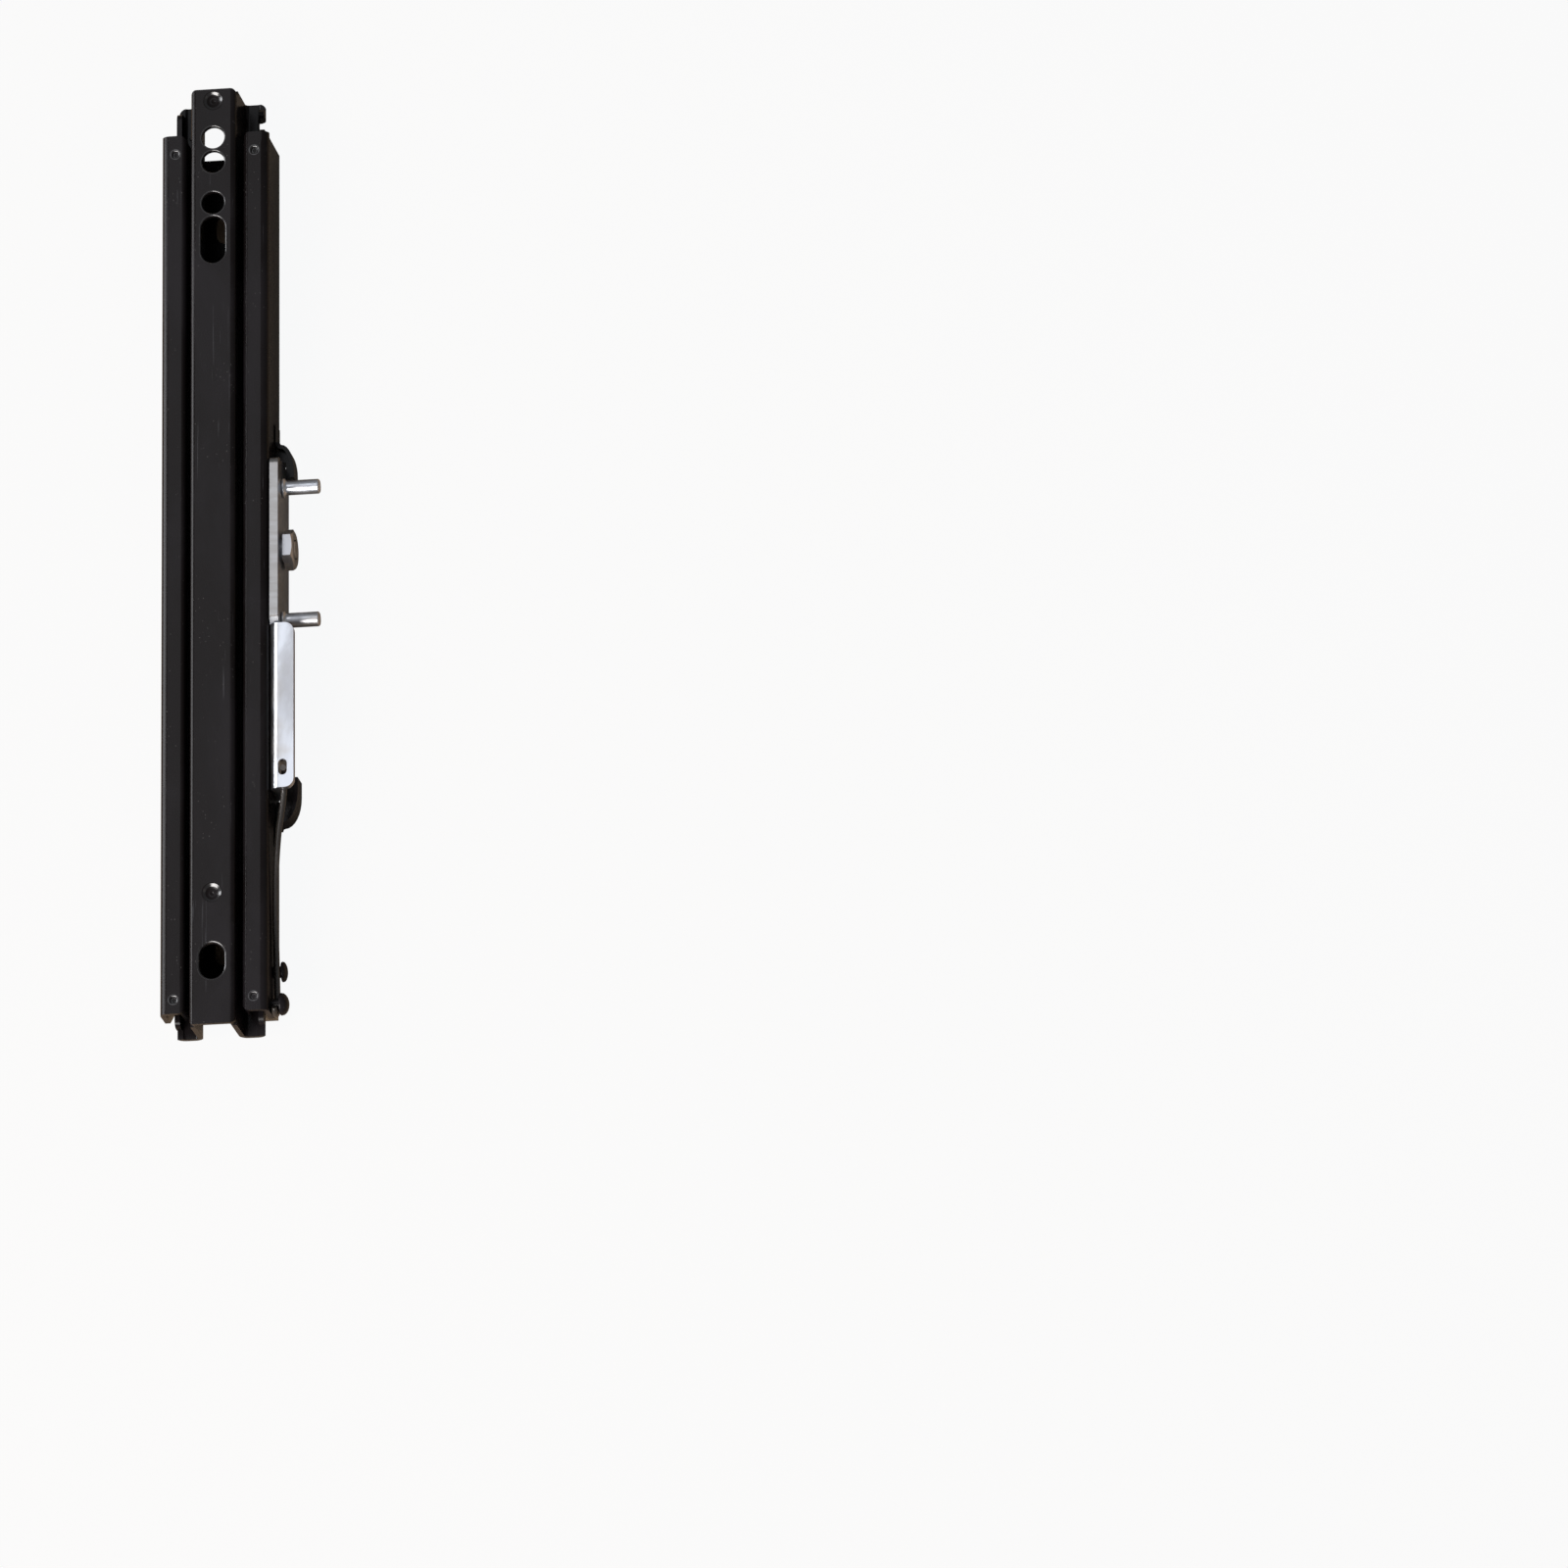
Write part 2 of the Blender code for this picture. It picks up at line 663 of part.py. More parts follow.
def turned(name, profile, place, material, facets=facets_hole):
    """A turned piece on an axis along X; the profile is (radius, x), outer end first."""
    bm = bmesh.new()
    verts = [bm.verts.new((radius, 0, along)) for radius, along in profile]
    for pair in zip(verts, verts[1:]):
        bm.edges.new(pair)
    item = part(name, bm, material)
    spin = item.modifiers.new("turned", "SCREW")
    spin.steps = facets
    spin.render_steps = facets
    spin.use_merge_vertices = True
    spin.merge_threshold = weld
    spin.use_smooth_shade = True
    item.rotation_euler = (0, math.radians(90), 0)
    item.location = place
    return item


def make_handle_pin(name, place):
    """A shouldered pin riveted in the lever's plate, with a collar and a chamfered end."""
    chamfer = pin_chamfer
    shank, pin, collar = pin_shank_diameter / 2, pin_diameter / 2, pin_collar_diameter / 2
    seat = lever_outside + fit_gap
    tip = lever_outside + pin_reach
    profile = [(0, tip), (pin - chamfer, tip), (pin, tip - chamfer),
               (pin, seat + pin_collar_height + chamfer),
               (collar - chamfer, seat + pin_collar_height), (collar, seat + chamfer / 2),
               (collar, seat), (shank, seat), (shank, lever_inside), (0, lever_inside)]
    return turned(name, profile, (0, place, pin_height), zinc)


def make_pivot_stud():
    thread, shoulder = pivot_thread_diameter / 2 - fit_gap, pivot_shoulder_diameter / 2
    seat = wall_outside + stud_seat_gap
    shoulder_end = lever_outside + 2 * fit_gap
    tip = shoulder_end + pivot_nut_height + 2 * fit_gap
    chamfer = stud_chamfer
    profile = [(0, tip), (thread - chamfer, tip), (thread, tip - chamfer),
               (thread, shoulder_end), (shoulder, shoulder_end), (shoulder, seat),
               (thread, seat), (thread, wall_inside), (0, wall_inside)]
    return turned("pivot_stud", profile, (0, pivot_place, pivot_height), steel)


def make_pivot_nut():
    start = lever_outside + 3 * fit_gap
    end = start + pivot_nut_height
    across_corners = pivot_nut_flats / math.cos(math.radians(30))
    nut = part("pivot_nut", rod(across_corners, 0, end - start, 6), zinc)
    nut.location = (start, pivot_place, pivot_height)
    cone = bmesh.new()
    face = pivot_nut_face / 2
    depth = 2 * pivot_nut_height
    bmesh.ops.create_cone(cone, cap_ends=True, segments=facets_hole, depth=depth,
                          radius1=face + depth * pivot_nut_crown_slope, radius2=face)
    bmesh.ops.rotate(cone, verts=cone.verts, matrix=Matrix.Rotation(math.radians(90), 3, "Y"))
    shifted(cone, (end - depth / 2, pivot_place, pivot_height))
    combine(nut, cutter("nut_crown", cone), "INTERSECT")
    bore = shifted(rod(pivot_thread_diameter, start - pivot_nut_height,
                       end + pivot_nut_height, facets_hole), (0, pivot_place, pivot_height))
    combine(nut, cutter("nut_bore", bore))
    return nut


def ear_path(start, inward, reach, run, length):
    """Plan of an ear: a foot along the wall, then a curve out and along past the lever's end."""
    flat = wall_outside + fit_gap + ear_sheet / 2
    turn = ear_foot_bend
    path = [(flat, start - inward * (ear_foot_length + turn))]
    for u, v in arc((0, 0), turn, 0, 90, 3):
        path.append((flat + turn - u, start - inward * (turn - v)))
    outer = wall_outside + reach - ear_sheet / 2
    bulge = outer - (flat + turn)
    for i in range(1, 9):
        angle = math.radians(90 * i / 8)
        path.append((flat + turn + bulge * math.sin(angle),
                     start + inward * run * (1 - math.cos(angle))))
    path.append((outer, start + inward * length))
    return path


def make_guide_ear(name, start, inward, reach, run, length):
    bm = bmesh.new()
    path = ear_path(start, inward, reach, run, length)
    low = [bm.verts.new((x, y, ear_bottom)) for x, y in path]
    strip = [bm.edges.new(pair) for pair in zip(low, low[1:])]
    grown = bmesh.ops.extrude_edge_only(bm, edges=strip)
    moved = [item for item in grown["geom"] if isinstance(item, bmesh.types.BMVert)]
    bmesh.ops.translate(bm, verts=moved, vec=(0, 0, ear_top - ear_bottom))
    ear = part(name, bm, black)
    thicken = ear.modifiers.new("sheet", "SOLIDIFY")
    thicken.thickness = ear_sheet
    thicken.offset = 0
    thicken.use_even_offset = True
    return ear


def smooth_route(points, steps):
    """Points on a smooth curve through the route's own points."""
    padded = [2 * points[0] - points[1]] + points + [2 * points[-1] - points[-2]]
    route = []
    for a, b, c, d in zip(padded, padded[1:], padded[2:], padded[3:]):
        for i in range(steps):
            t = i / steps
            route.append(0.5 * (2 * b + (c - a) * t + (2 * a - 5 * b + 4 * c - d) * t * t
                                + (3 * b - a - 3 * c + d) * t ** 3))
    route.append(points[-1])
    return route


def spring_route():
    """The wire: up through the lever's eye, along the wall, over one post and round the other."""
    radius = wire_diameter / 2
    under = lever_top - lever_sheet - fit_gap - radius
    turn = spring_bend
    eye = [Vector((spring_eye_x, spring_eye_place, lever_top - spring_end_drop)),
           Vector((spring_eye_x, spring_eye_place, under + turn))]
    eye += [Vector((spring_eye_x, spring_eye_place - turn + y, under + turn + z))
            for y, z in arc((0, 0), turn, 0, -90, 5)[1:]]
    near_wall = wall_outside + radius + spring_bow_gap
    at_posts = (wall_outside + rear_head_inside) / 2
    ride = post_diameter / 2 + fit_gap + radius
    over = rear_post_height + ride
    low = front_post_height - ride
    leave = spring_eye_place - turn
    bow = rear_post_place - leave
    run = [eye[-1]]
    for along, out, drop in zip(spring_bow_shares, spring_out_shares, spring_drop_shares):
        run.append(Vector((near_wall + (spring_eye_x - near_wall) * out, leave + bow * along,
                           under + (over - under) * drop)))
    run += [Vector((at_posts, rear_post_place, over)),
            Vector((at_posts, front_post_place, low))]
    hook = [Vector((at_posts, front_post_place + y, front_post_height + z))
            for y, z in arc((0, 0), ride, 270, 120, 8)[1:]]
    return eye[:-1] + smooth_route(run, 7) + hook


def make_lock_spring():
    route = spring_route()
    curve = bpy.data.curves.new("lock_spring", "CURVE")
    curve.dimensions = "3D"
    curve.bevel_depth = wire_diameter / 2
    curve.bevel_resolution = 2
    curve.use_fill_caps = True
    line = curve.splines.new("POLY")
    line.points.add(len(route) - 1)
    for point, place in zip(line.points, route):
        point.co = (*place, 1)
    curve.materials.append(black)
    item = bpy.data.objects.new("lock_spring", curve)
    parts.objects.link(item)
    return item


def make_spring_post(name, place, height, reach, head_diameter):
    """A headed rivet in the outer wall."""
    shank, head = post_diameter / 2, head_diameter / 2
    start = wall_outside + reach - post_head_height
    rise = post_head_height - post_rim_height
    dome = [(head * u, start + post_rim_height + rise * v)
            for u, v in arc((0, 0), 1.0, 72, 0, 4)]
    profile = [(0, start + post_head_height)] + dome
    profile += [(head, start), (shank, start), (shank, wall_inside), (0, wall_inside)]
    return turned(name, profile, (0, place, height), black)


def make_ball_cage(name, side):
    """A pressed strip beside the hat's web, with a round window for each ball."""
    flat = side * (hat_side + running_gap + ball_cage_sheet / 2)
    across = side * (upturn_inside - ball_side_gap)
    start = ball_cage_centre - ball_cage_length / 2
    end = ball_cage_centre + ball_cage_length / 2
    low = flange_top + ball_cage_lift
    bm = bmesh.new()
    plan = [(across, start), (flat, start), (flat, end), (across, end)]
    verts = [bm.verts.new((x, y, low)) for x, y in plan]
    strip = [bm.edges.new(pair) for pair in zip(verts, verts[1:])]
    grown = bmesh.ops.extrude_edge_only(bm, edges=strip)
    moved = [item for item in grown["geom"] if isinstance(item, bmesh.types.BMVert)]
    bmesh.ops.translate(bm, verts=moved, vec=(0, 0, ball_cage_height))
    cage = part(name, bm, steel)
    thicken = cage.modifiers.new("sheet", "SOLIDIFY")
    thicken.thickness = ball_cage_sheet
    thicken.offset = 0
    thicken.use_even_offset = True
    windows = bmesh.new()
    low_x, high_x = sorted((flat - side * ball_cage_sheet, flat + side * ball_cage_sheet))
    for place in ball_places():
        outline = arc((place, ball_height), ball_window_diameter / 2, 0, 360, facets_small)[:-1]
        add_prism(windows, outline, seen_from_side, low_x, high_x)
    combine(cage, cutter(name + "_windows", windows))
    return cage


def ball_places():
    first = ball_cage_centre + ball_cage_length / 2 - ball_end_margin
    step = (ball_cage_length - 2 * ball_end_margin) / (balls_per_side - 1)
    return [first - step * i for i in range(balls_per_side)]


def make_ball(name, place):
    bm = bmesh.new()
    bmesh.ops.create_uvsphere(bm, u_segments=18, v_segments=12, radius=ball_diameter / 2)
    ball = part(name, bm, steel)
    ball.location = place
    shade_round(ball, 60)
    return ball


def make_roller(name, place, side):
    """A plain roller that lies across the rail under the hat channel's flange."""
    start = side * roller_start
    low, high = sorted((start, side * (roller_start + roller_length)))
    bm = rod(roller_diameter, low, high)
    roller = part(name, bm, steel)
    edge = roller.modifiers.new("edges", "BEVEL")
    edge.width = roller_edge
    edge.segments = 1
    edge.limit_method = "ANGLE"
    edge.angle_limit = math.radians(50)
    roller.location = (0, place, outer_sheet + running_gap + roller_diameter / 2)
    return roller


def make_roller_cage(name, place):
    """A flat plate with a window for each of its two rollers."""
    middle = outer_sheet + running_gap + roller_diameter / 2
    half_width, half_length = roller_cage_width / 2, roller_cage_length / 2
    half_sheet = roller_cage_sheet / 2
    cage = part(name, box((-half_width, place - half_length, middle - half_sheet),
                          (half_width, place + half_length, middle + half_sheet)), steel)
    gap = roller_window_gap
    for side in (1, -1):
        low, high = sorted((side * (roller_start - gap),
                            side * (roller_start + roller_length + gap)))
        window = box((low, place - roller_diameter / 2 - gap, middle - roller_cage_sheet),
                     (high, place + roller_diameter / 2 + gap, middle + roller_cage_sheet))
        combine(cage, cutter(f"{name}_window_{'right' if side > 0 else 'left'}", window))
    return cage


def carry(pieces, name, point):
    """Parents the pieces that move together to an empty on their joint's axis."""
    empty = bpy.data.objects.new(name, None)
    empty.location = point
    parts.objects.link(empty)
    bpy.context.view_layer.update()
    for piece in pieces:
        piece.parent = empty
        piece.matrix_parent_inverse = Matrix.Translation(-Vector(point))


clear_scene()
parts = new_collection("seat_slide_rail")
cutters = new_collection("cutters")
black = make_material("black_coat", (0.012, 0.011, 0.013), 0.34, 0.0)
zinc = make_material("zinc_plate", (0.60, 0.61, 0.63), 0.34, 0.9)
steel = make_material("bright_steel", (0.56, 0.56, 0.57), 0.22, 1.0)

make_outer_channel()
inner_channel = make_inner_channel()
lock_lever = make_lock_lever()
pins = [make_handle_pin("handle_pin_rear", pin_places[0]),
        make_handle_pin("handle_pin_front", pin_places[1])]
make_pivot_stud()
make_pivot_nut()
make_guide_ear("guide_ear_rear", lever_rear + rear_ear_gap, -1, rear_ear_reach,
               rear_ear_run, rear_ear_length)
make_guide_ear("guide_ear_front", lever_front - front_ear_gap, 1, front_ear_reach,
               front_ear_run, front_ear_length)
make_lock_spring()
make_spring_post("spring_post_rear", rear_post_place, rear_post_height, rear_post_reach,
                 rear_post_head)
make_spring_post("spring_post_front", front_post_place, front_post_height, front_post_reach,
                 front_post_head)

rolling = []
for side_name, side in (("right", 1), ("left", -1)):
    rolling.append(make_ball_cage(f"ball_cage_{side_name}", side))
    for number, place in enumerate(ball_places(), start=1):
        rolling.append(make_ball(f"ball_{side_name}_{number}",
                                 (side * ball_place, place, ball_height)))
for end_name, place in zip(("front", "rear"), roller_cage_places):
    rolling.append(make_roller_cage(f"roller_cage_{end_name}", place))
    for side_name, side in (("right", 1), ("left", -1)):
        rolling.append(make_roller(f"roller_{end_name}_{side_name}", place, side))

carry(rolling, "rolling_axis", (0, 0, flange_bottom))
carry([inner_channel], "slide_axis", (0, 0, hat_top))
carry([lock_lever] + pins, "pivot_axis", pivot_point)
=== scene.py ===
"""Looks for the seat slide rail.

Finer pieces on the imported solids, coats and platings, floor, light and camera. Metres, +Z up, in
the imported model's frame: +Y is the rail's rear end and +X its lever side.
"""
import math

import bpy
from mathutils import Matrix, Vector


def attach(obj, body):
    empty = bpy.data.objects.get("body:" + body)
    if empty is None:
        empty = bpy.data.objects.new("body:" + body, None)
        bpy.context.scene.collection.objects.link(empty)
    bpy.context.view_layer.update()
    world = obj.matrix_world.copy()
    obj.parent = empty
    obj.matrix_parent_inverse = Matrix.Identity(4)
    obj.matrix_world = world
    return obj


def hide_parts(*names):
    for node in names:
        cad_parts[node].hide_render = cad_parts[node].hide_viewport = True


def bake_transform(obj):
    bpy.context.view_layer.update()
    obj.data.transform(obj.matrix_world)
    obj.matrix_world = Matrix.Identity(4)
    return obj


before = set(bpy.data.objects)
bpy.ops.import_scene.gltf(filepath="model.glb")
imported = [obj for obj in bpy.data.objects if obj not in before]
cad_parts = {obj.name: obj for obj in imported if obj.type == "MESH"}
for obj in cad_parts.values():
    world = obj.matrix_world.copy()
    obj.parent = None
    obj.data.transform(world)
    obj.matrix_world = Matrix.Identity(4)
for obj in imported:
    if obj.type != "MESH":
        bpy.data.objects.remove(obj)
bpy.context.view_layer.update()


# Sizes in metres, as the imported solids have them

strip_top = 0.0305
lip_top = 0.0270
wall_face = 0.0209
wall_thickness = 0.0020
flange_side = 0.0171
rear_end = 0.1870
lever_inner_face = 0.0213
lever_outer_face = 0.0245
nut_height = 0.0038
wire_radius = 0.0012
pivot_place = (0.0040, 0.0140)
pin_reach = 0.0145
pin_places = {"rear": (0.0284, 0.0160), "front": (-0.0248, 0.0160)}
post_places = {"rear": (-0.1631, 0.0125), "front": (-0.1775, 0.0185)}

# Each spring post: how far it stands out of the wall, and its head's radius and height
post_sizes = {"rear": (0.0050, 0.0039, 0.0022), "front": (0.0067, 0.0043, 0.0034)}

# Each guide ear: how far it stands out of the wall, where it starts and which way it runs, half the
# length of its oval curve, its whole length, and where its web begins
ear_sizes = {"rear": (0.0075, 0.0460, -1, 0.0100, 0.0125, 0.0057),
             "front": (0.0090, -0.1035, 1, 0.0110, 0.0170, 0.0080)}

# The strip's bolt holes, its pressed stops, and the pits in both lips
hole_places = (0.1673, 0.1574, 0.1407)
stop_places = (0.1823, -0.1356)
pit_places = [(x, y) for x in (0.0154, -0.0154) for y in (0.1625, -0.1760)]

# Each slot in the strip: its middle, its length and its rim's roll, then half of the straight part
# and the outer radius of the burnished rim
slot_sizes = ((0.1258, 0.01895, 0.00055, 0.00465, 0.0054),
              (-0.1623, 0.01385, 0.0009, 0.0021, 0.0057))

# Every burnished rim: its middle, half of the straight part, its inner and its outer radius
rim_places = [(0.0, y, 0.0, 0.0, 0.0050) for y in hole_places]
rim_places += [(0.0, y, half, 0.0, outer) for y, _, _, half, outer in slot_sizes]
rim_places += [(0.0, y, 0.0, 0.0026, 0.0037) for y in stop_places]
rim_places += [(x, y, 0.0, 0.0008, 0.0022) for x, y in pit_places]
rim_fade = 0.0002
rims_above = 0.0240


# Shared surface effects, each a node group made once

def new_group(name, inputs, outputs):
    """An empty node group with float inputs, given as (name, default), and named outputs."""
    group = bpy.data.node_groups.new(name, "ShaderNodeTree")
    for label, value in inputs:
        socket = group.interface.new_socket(name=label, in_out="INPUT",
                                            socket_type="NodeSocketFloat")
        socket.default_value = value
    for label in outputs:
        group.interface.new_socket(name=label, in_out="OUTPUT", socket_type="NodeSocketFloat")
    return group, group.nodes.new("NodeGroupInput"), group.nodes.new("NodeGroupOutput")


def add_node(tree, kind, **values):
    """A node with its settings."""
    node = tree.nodes.new(kind)
    for label, value in values.items():
        setattr(node, label, value)
    return node


def add_maths(tree, operation, first, second=None):
    """One step of arithmetic, on sockets or plain numbers."""
    node = add_node(tree, "ShaderNodeMath", operation=operation)
    for socket, value in zip(node.inputs, (first, second)):
        if value is None:
            continue
        if isinstance(value, (int, float)):
            socket.default_value = value
        else:
            tree.links.new(value, socket)
    return node.outputs[0]


def add_noise(tree, place, scale, detail, roughness=0.55, distortion=0.0):
    """A noise texture, with its scale from a socket or a plain number."""
    noise = add_node(tree, "ShaderNodeTexNoise")
    noise.inputs["Detail"].default_value = detail
    noise.inputs["Roughness"].default_value = roughness
    noise.inputs["Distortion"].default_value = distortion
    tree.links.new(place, noise.inputs["Vector"])
    if isinstance(scale, (int, float)):
        noise.inputs["Scale"].default_value = scale
    else:
        tree.links.new(scale, noise.inputs["Scale"])
    return noise.outputs["Fac"]


def add_range(tree, value, low, high, to_low=0.0, to_high=1.0):
    """Spreads low..high over to_low..to_high, softly and without going past either."""
    node = add_node(tree, "ShaderNodeMapRange", interpolation_type="SMOOTHSTEP")
    tree.links.new(value, node.inputs["Value"])
    for label, number in (("From Min", low), ("From Max", high),
                          ("To Min", to_low), ("To Max", to_high)):
        node.inputs[label].default_value = number
    return node.outputs["Result"]


def add_place(tree, stretch=(1.0, 1.0, 1.0)):
    """Object coordinates, drawn out by a Mapping node."""
    place = add_node(tree, "ShaderNodeTexCoord")
    mapping = add_node(tree, "ShaderNodeMapping")
    mapping.inputs["Scale"].default_value = stretch
    tree.links.new(place.outputs["Object"], mapping.inputs["Vector"])
    return mapping.outputs["Vector"]


def add_axes(tree):
    """Object coordinates as sockets X, Y and Z."""
    place = add_node(tree, "ShaderNodeTexCoord")
    parts = add_node(tree, "ShaderNodeSeparateXYZ")
    tree.links.new(place.outputs["Object"], parts.inputs["Vector"])
    return parts.outputs


def make_haze():
    """Soft cloudy patches, as handling and the coat's own flow leave."""
    group, given, made = new_group("haze", [("Patch Size", 22.0)], ["Mask"])
    place = add_place(group, (1.0, 0.45, 1.0))
    cloud = add_noise(group, place, given.outputs["Patch Size"], 4.0, 0.6, 0.4)
    group.links.new(add_range(group, cloud, 0.42, 0.68), made.inputs["Mask"])
    return group


def make_specks():
    """Small pale specks of dust, more of them in some places than in others."""
    group, given, made = new_group("specks", [("Density", 420.0), ("Size", 0.12)], ["Mask"])
    place = add_place(group)
    cells = add_node(group, "ShaderNodeTexVoronoi", feature="F1")
    group.links.new(place, cells.inputs["Vector"])
    group.links.new(given.outputs["Density"], cells.inputs["Scale"])
    near = add_maths(group, "LESS_THAN", cells.outputs["Distance"], given.outputs["Size"])
    patches = add_range(group, add_noise(group, place, 60.0, 2.0), 0.50, 0.62)
    group.links.new(add_maths(group, "MULTIPLY", near, patches), made.inputs["Mask"])
    return group


def make_orange_peel():
    """The fine uneven skin of a baked coat, as a height."""
    group, given, made = new_group("orange_peel", [("Grain", 900.0)], ["Height"])
    place = add_place(group)
    fine = add_noise(group, place, given.outputs["Grain"], 3.0)
    broad = add_noise(group, place, 160.0, 2.0)
    both = add_maths(group, "ADD", fine, add_maths(group, "MULTIPLY", broad, 0.7))
    group.links.new(both, made.inputs["Height"])
    return group


def make_scratches():
    """Thin lines along the rail, broken into short lengths, as sliding and handling leave."""
    group, given, made = new_group("scratches", [("Lines", 900.0)], ["Mask"])
    along = add_place(group, (1.0, 0.02, 1.0))
    lines = add_noise(group, along, given.outputs["Lines"], 2.0, 0.5)
    thin = add_range(group, lines, 0.66, 0.70)
    breaks = add_range(group, add_noise(group, add_place(group), 45.0, 3.0), 0.50, 0.60)
    group.links.new(add_maths(group, "MULTIPLY", thin, breaks), made.inputs["Mask"])
    return group


def make_worn_rims():
    """The burnished rims of holes, slots, stops and pits, each a ring about its middle."""
    group, _, made = new_group("worn_rims", [], ["Mask"])
    axes = add_axes(group)
    worn = None
    for x, y, half, inner, outer in rim_places:
        across = add_maths(group, "POWER", add_maths(group, "SUBTRACT", axes["X"], x), 2.0)
        along = add_maths(group, "ABSOLUTE", add_maths(group, "SUBTRACT", axes["Y"], y))
        along = add_maths(group, "MAXIMUM", add_maths(group, "SUBTRACT", along, half), 0.0)
        away = add_maths(group, "SQRT", add_maths(group, "ADD", across, add_maths(
            group, "MULTIPLY", along, along)))
        ring = add_maths(group, "MULTIPLY", add_maths(group, "GREATER_THAN", away, inner),
                         add_range(group, away, outer - rim_fade, outer, 1.0, 0.0))
        worn = ring if worn is None else add_maths(group, "MAXIMUM", worn, ring)
    high = add_maths(group, "GREATER_THAN", axes["Z"], rims_above)
    group.links.new(add_maths(group, "MULTIPLY", worn, high), made.inputs["Mask"])
    return group


def make_sheared_edge():
    """Where the lever's top is a cut edge, behind its flange: duller than a rolled face."""
    group, given, made = new_group("sheared_edge", [("Front", -0.0285), ("Level", 0.0254)],
                                   ["Mask"])
    axes = add_axes(group)
    behind = add_maths(group, "GREATER_THAN", axes["Y"], given.outputs["Front"])
    high = add_maths(group, "GREATER_THAN", axes["Z"], given.outputs["Level"])
    streaks = add_noise(group, add_place(group, (1.0, 6.0, 1.0)), 90.0, 3.0)
    worn = add_range(group, streaks, 0.25, 0.70, 0.78, 1.0)
    group.links.new(add_maths(group, "MULTIPLY", add_maths(group, "MULTIPLY", behind, high), worn),
                    made.inputs["Mask"])
    return group


worn_rims = make_worn_rims()
sheared_edge = make_sheared_edge()
haze = make_haze()
specks = make_specks()
orange_peel = make_orange_peel()
scratches = make_scratches()


# Materials

def new_material(name):
    """A material with its node tree and its main shader."""
    material = bpy.data.materials.new(name)
    material.use_nodes = True
    tree = material.node_tree
    return material, tree, tree.nodes["Principled BSDF"]


def use_group(tree, group, output, **values):
    """Uses a shared effect, with its own values where they are given."""
    node = add_node(tree, "ShaderNodeGroup", node_tree=group)
    for label, value in values.items():
        node.inputs[label.replace("_", " ")].default_value = value
    return node.outputs[output]


def add_mix(tree, mask, first, second):
    """Mixes two colours by a mask."""
    node = add_node(tree, "ShaderNodeMix", data_type="RGBA")
    tree.links.new(mask, node.inputs["Factor"])
    for socket, value in ((node.inputs["A"], first), (node.inputs["B"], second)):
        if isinstance(value, tuple):
            socket.default_value = (*value, 1.0)
        else:
            tree.links.new(value, socket)
    return node.outputs["Result"]


def set_bump(tree, shader, height, distance):
    """Raises a height, in metres at its full value, on the shader's surface."""
    bump = add_node(tree, "ShaderNodeBump")
    bump.inputs["Distance"].default_value = distance
    bump.inputs["Strength"].default_value = 1.0
    tree.links.new(height, bump.inputs["Height"])
    tree.links.new(bump.outputs["Normal"], shader.inputs["Normal"])


def make_black_coat():
    """Baked black coat on pressed steel: near black, satin, with cloudy handling marks."""
    material, tree, shader = new_material("black_coat_finish")
    clouds = use_group(tree, haze, "Mask", Patch_Size=34.0)
    dust = use_group(tree, specks, "Mask", Density=520.0, Size=0.11)
    marks = use_group(tree, scratches, "Mask", Lines=1100.0)
    cloudy = add_mix(tree, clouds, (0.0040, 0.0030, 0.0030), (0.0076, 0.0064, 0.0072))
    marked = add_mix(tree, add_maths(tree, "MULTIPLY", marks, 0.35), cloudy, (0.05, 0.05, 0.055))
    dusty = add_mix(tree, add_maths(tree, "MULTIPLY", dust, 0.25), marked, (0.12, 0.115, 0.11))
    tree.links.new(dusty, shader.inputs["Base Color"])
    tree.links.new(add_range(tree, use_group(tree, worn_rims, "Mask"), 0.0, 1.0, 0.13, 0.7),
                   shader.inputs["Specular IOR Level"])
    satin = add_range(tree, clouds, 0.0, 1.0, 0.22, 0.31)
    rough = add_maths(tree, "ADD", satin, add_maths(tree, "MULTIPLY", marks, 0.12))
    tree.links.new(rough, shader.inputs["Roughness"])
    set_bump(tree, shader, use_group(tree, orange_peel, "Height", Grain=1300.0), 0.000004)
    return material


def make_zinc(name, pale, dull, brown):
    """Bright zinc plating: bluish white, with duller clouds and a faint brown film."""
    material, tree, shader = new_material(name)
    clouds = use_group(tree, haze, "Mask", Patch_Size=60.0)
    marks = use_group(tree, scratches, "Mask", Lines=700.0)
    film = add_range(tree, add_noise(tree, add_place(tree), 35.0, 5.0), 0.52, 0.72, 0.0, 0.5)
    cloudy = add_mix(tree, clouds, pale, dull)
    filmed = add_mix(tree, film, cloudy, brown)
    cut = use_group(tree, sheared_edge, "Mask")
    tree.links.new(add_mix(tree, cut, filmed, (0.30, 0.29, 0.28)), shader.inputs["Base Color"])
    shader.inputs["Metallic"].default_value = 1.0
    satin = add_range(tree, clouds, 0.0, 1.0, 0.30, 0.46)
    rough = add_maths(tree, "ADD", satin, add_maths(tree, "MULTIPLY", marks, 0.12))
    tree.links.new(rough, shader.inputs["Roughness"])
    set_bump(tree, shader, use_group(tree, orange_peel, "Height", Grain=1500.0), 0.00001)
    return material


def make_bright_steel():
    """Hardened bearing steel under a thin film of grease."""
    material, tree, shader = new_material("bright_steel_finish")
    grease = use_group(tree, haze, "Mask", Patch_Size=120.0)
    tree.links.new(add_mix(tree, grease, (0.58, 0.58, 0.58), (0.36, 0.32, 0.26)),
                   shader.inputs["Base Color"])
    shader.inputs["Metallic"].default_value = 1.0
    tree.links.new(add_range(tree, grease, 0.0, 1.0, 0.16, 0.42), shader.inputs["Roughness"])
    set_bump(tree, shader, use_group(tree, orange_peel, "Height", Grain=1800.0), 0.000004)
    return material


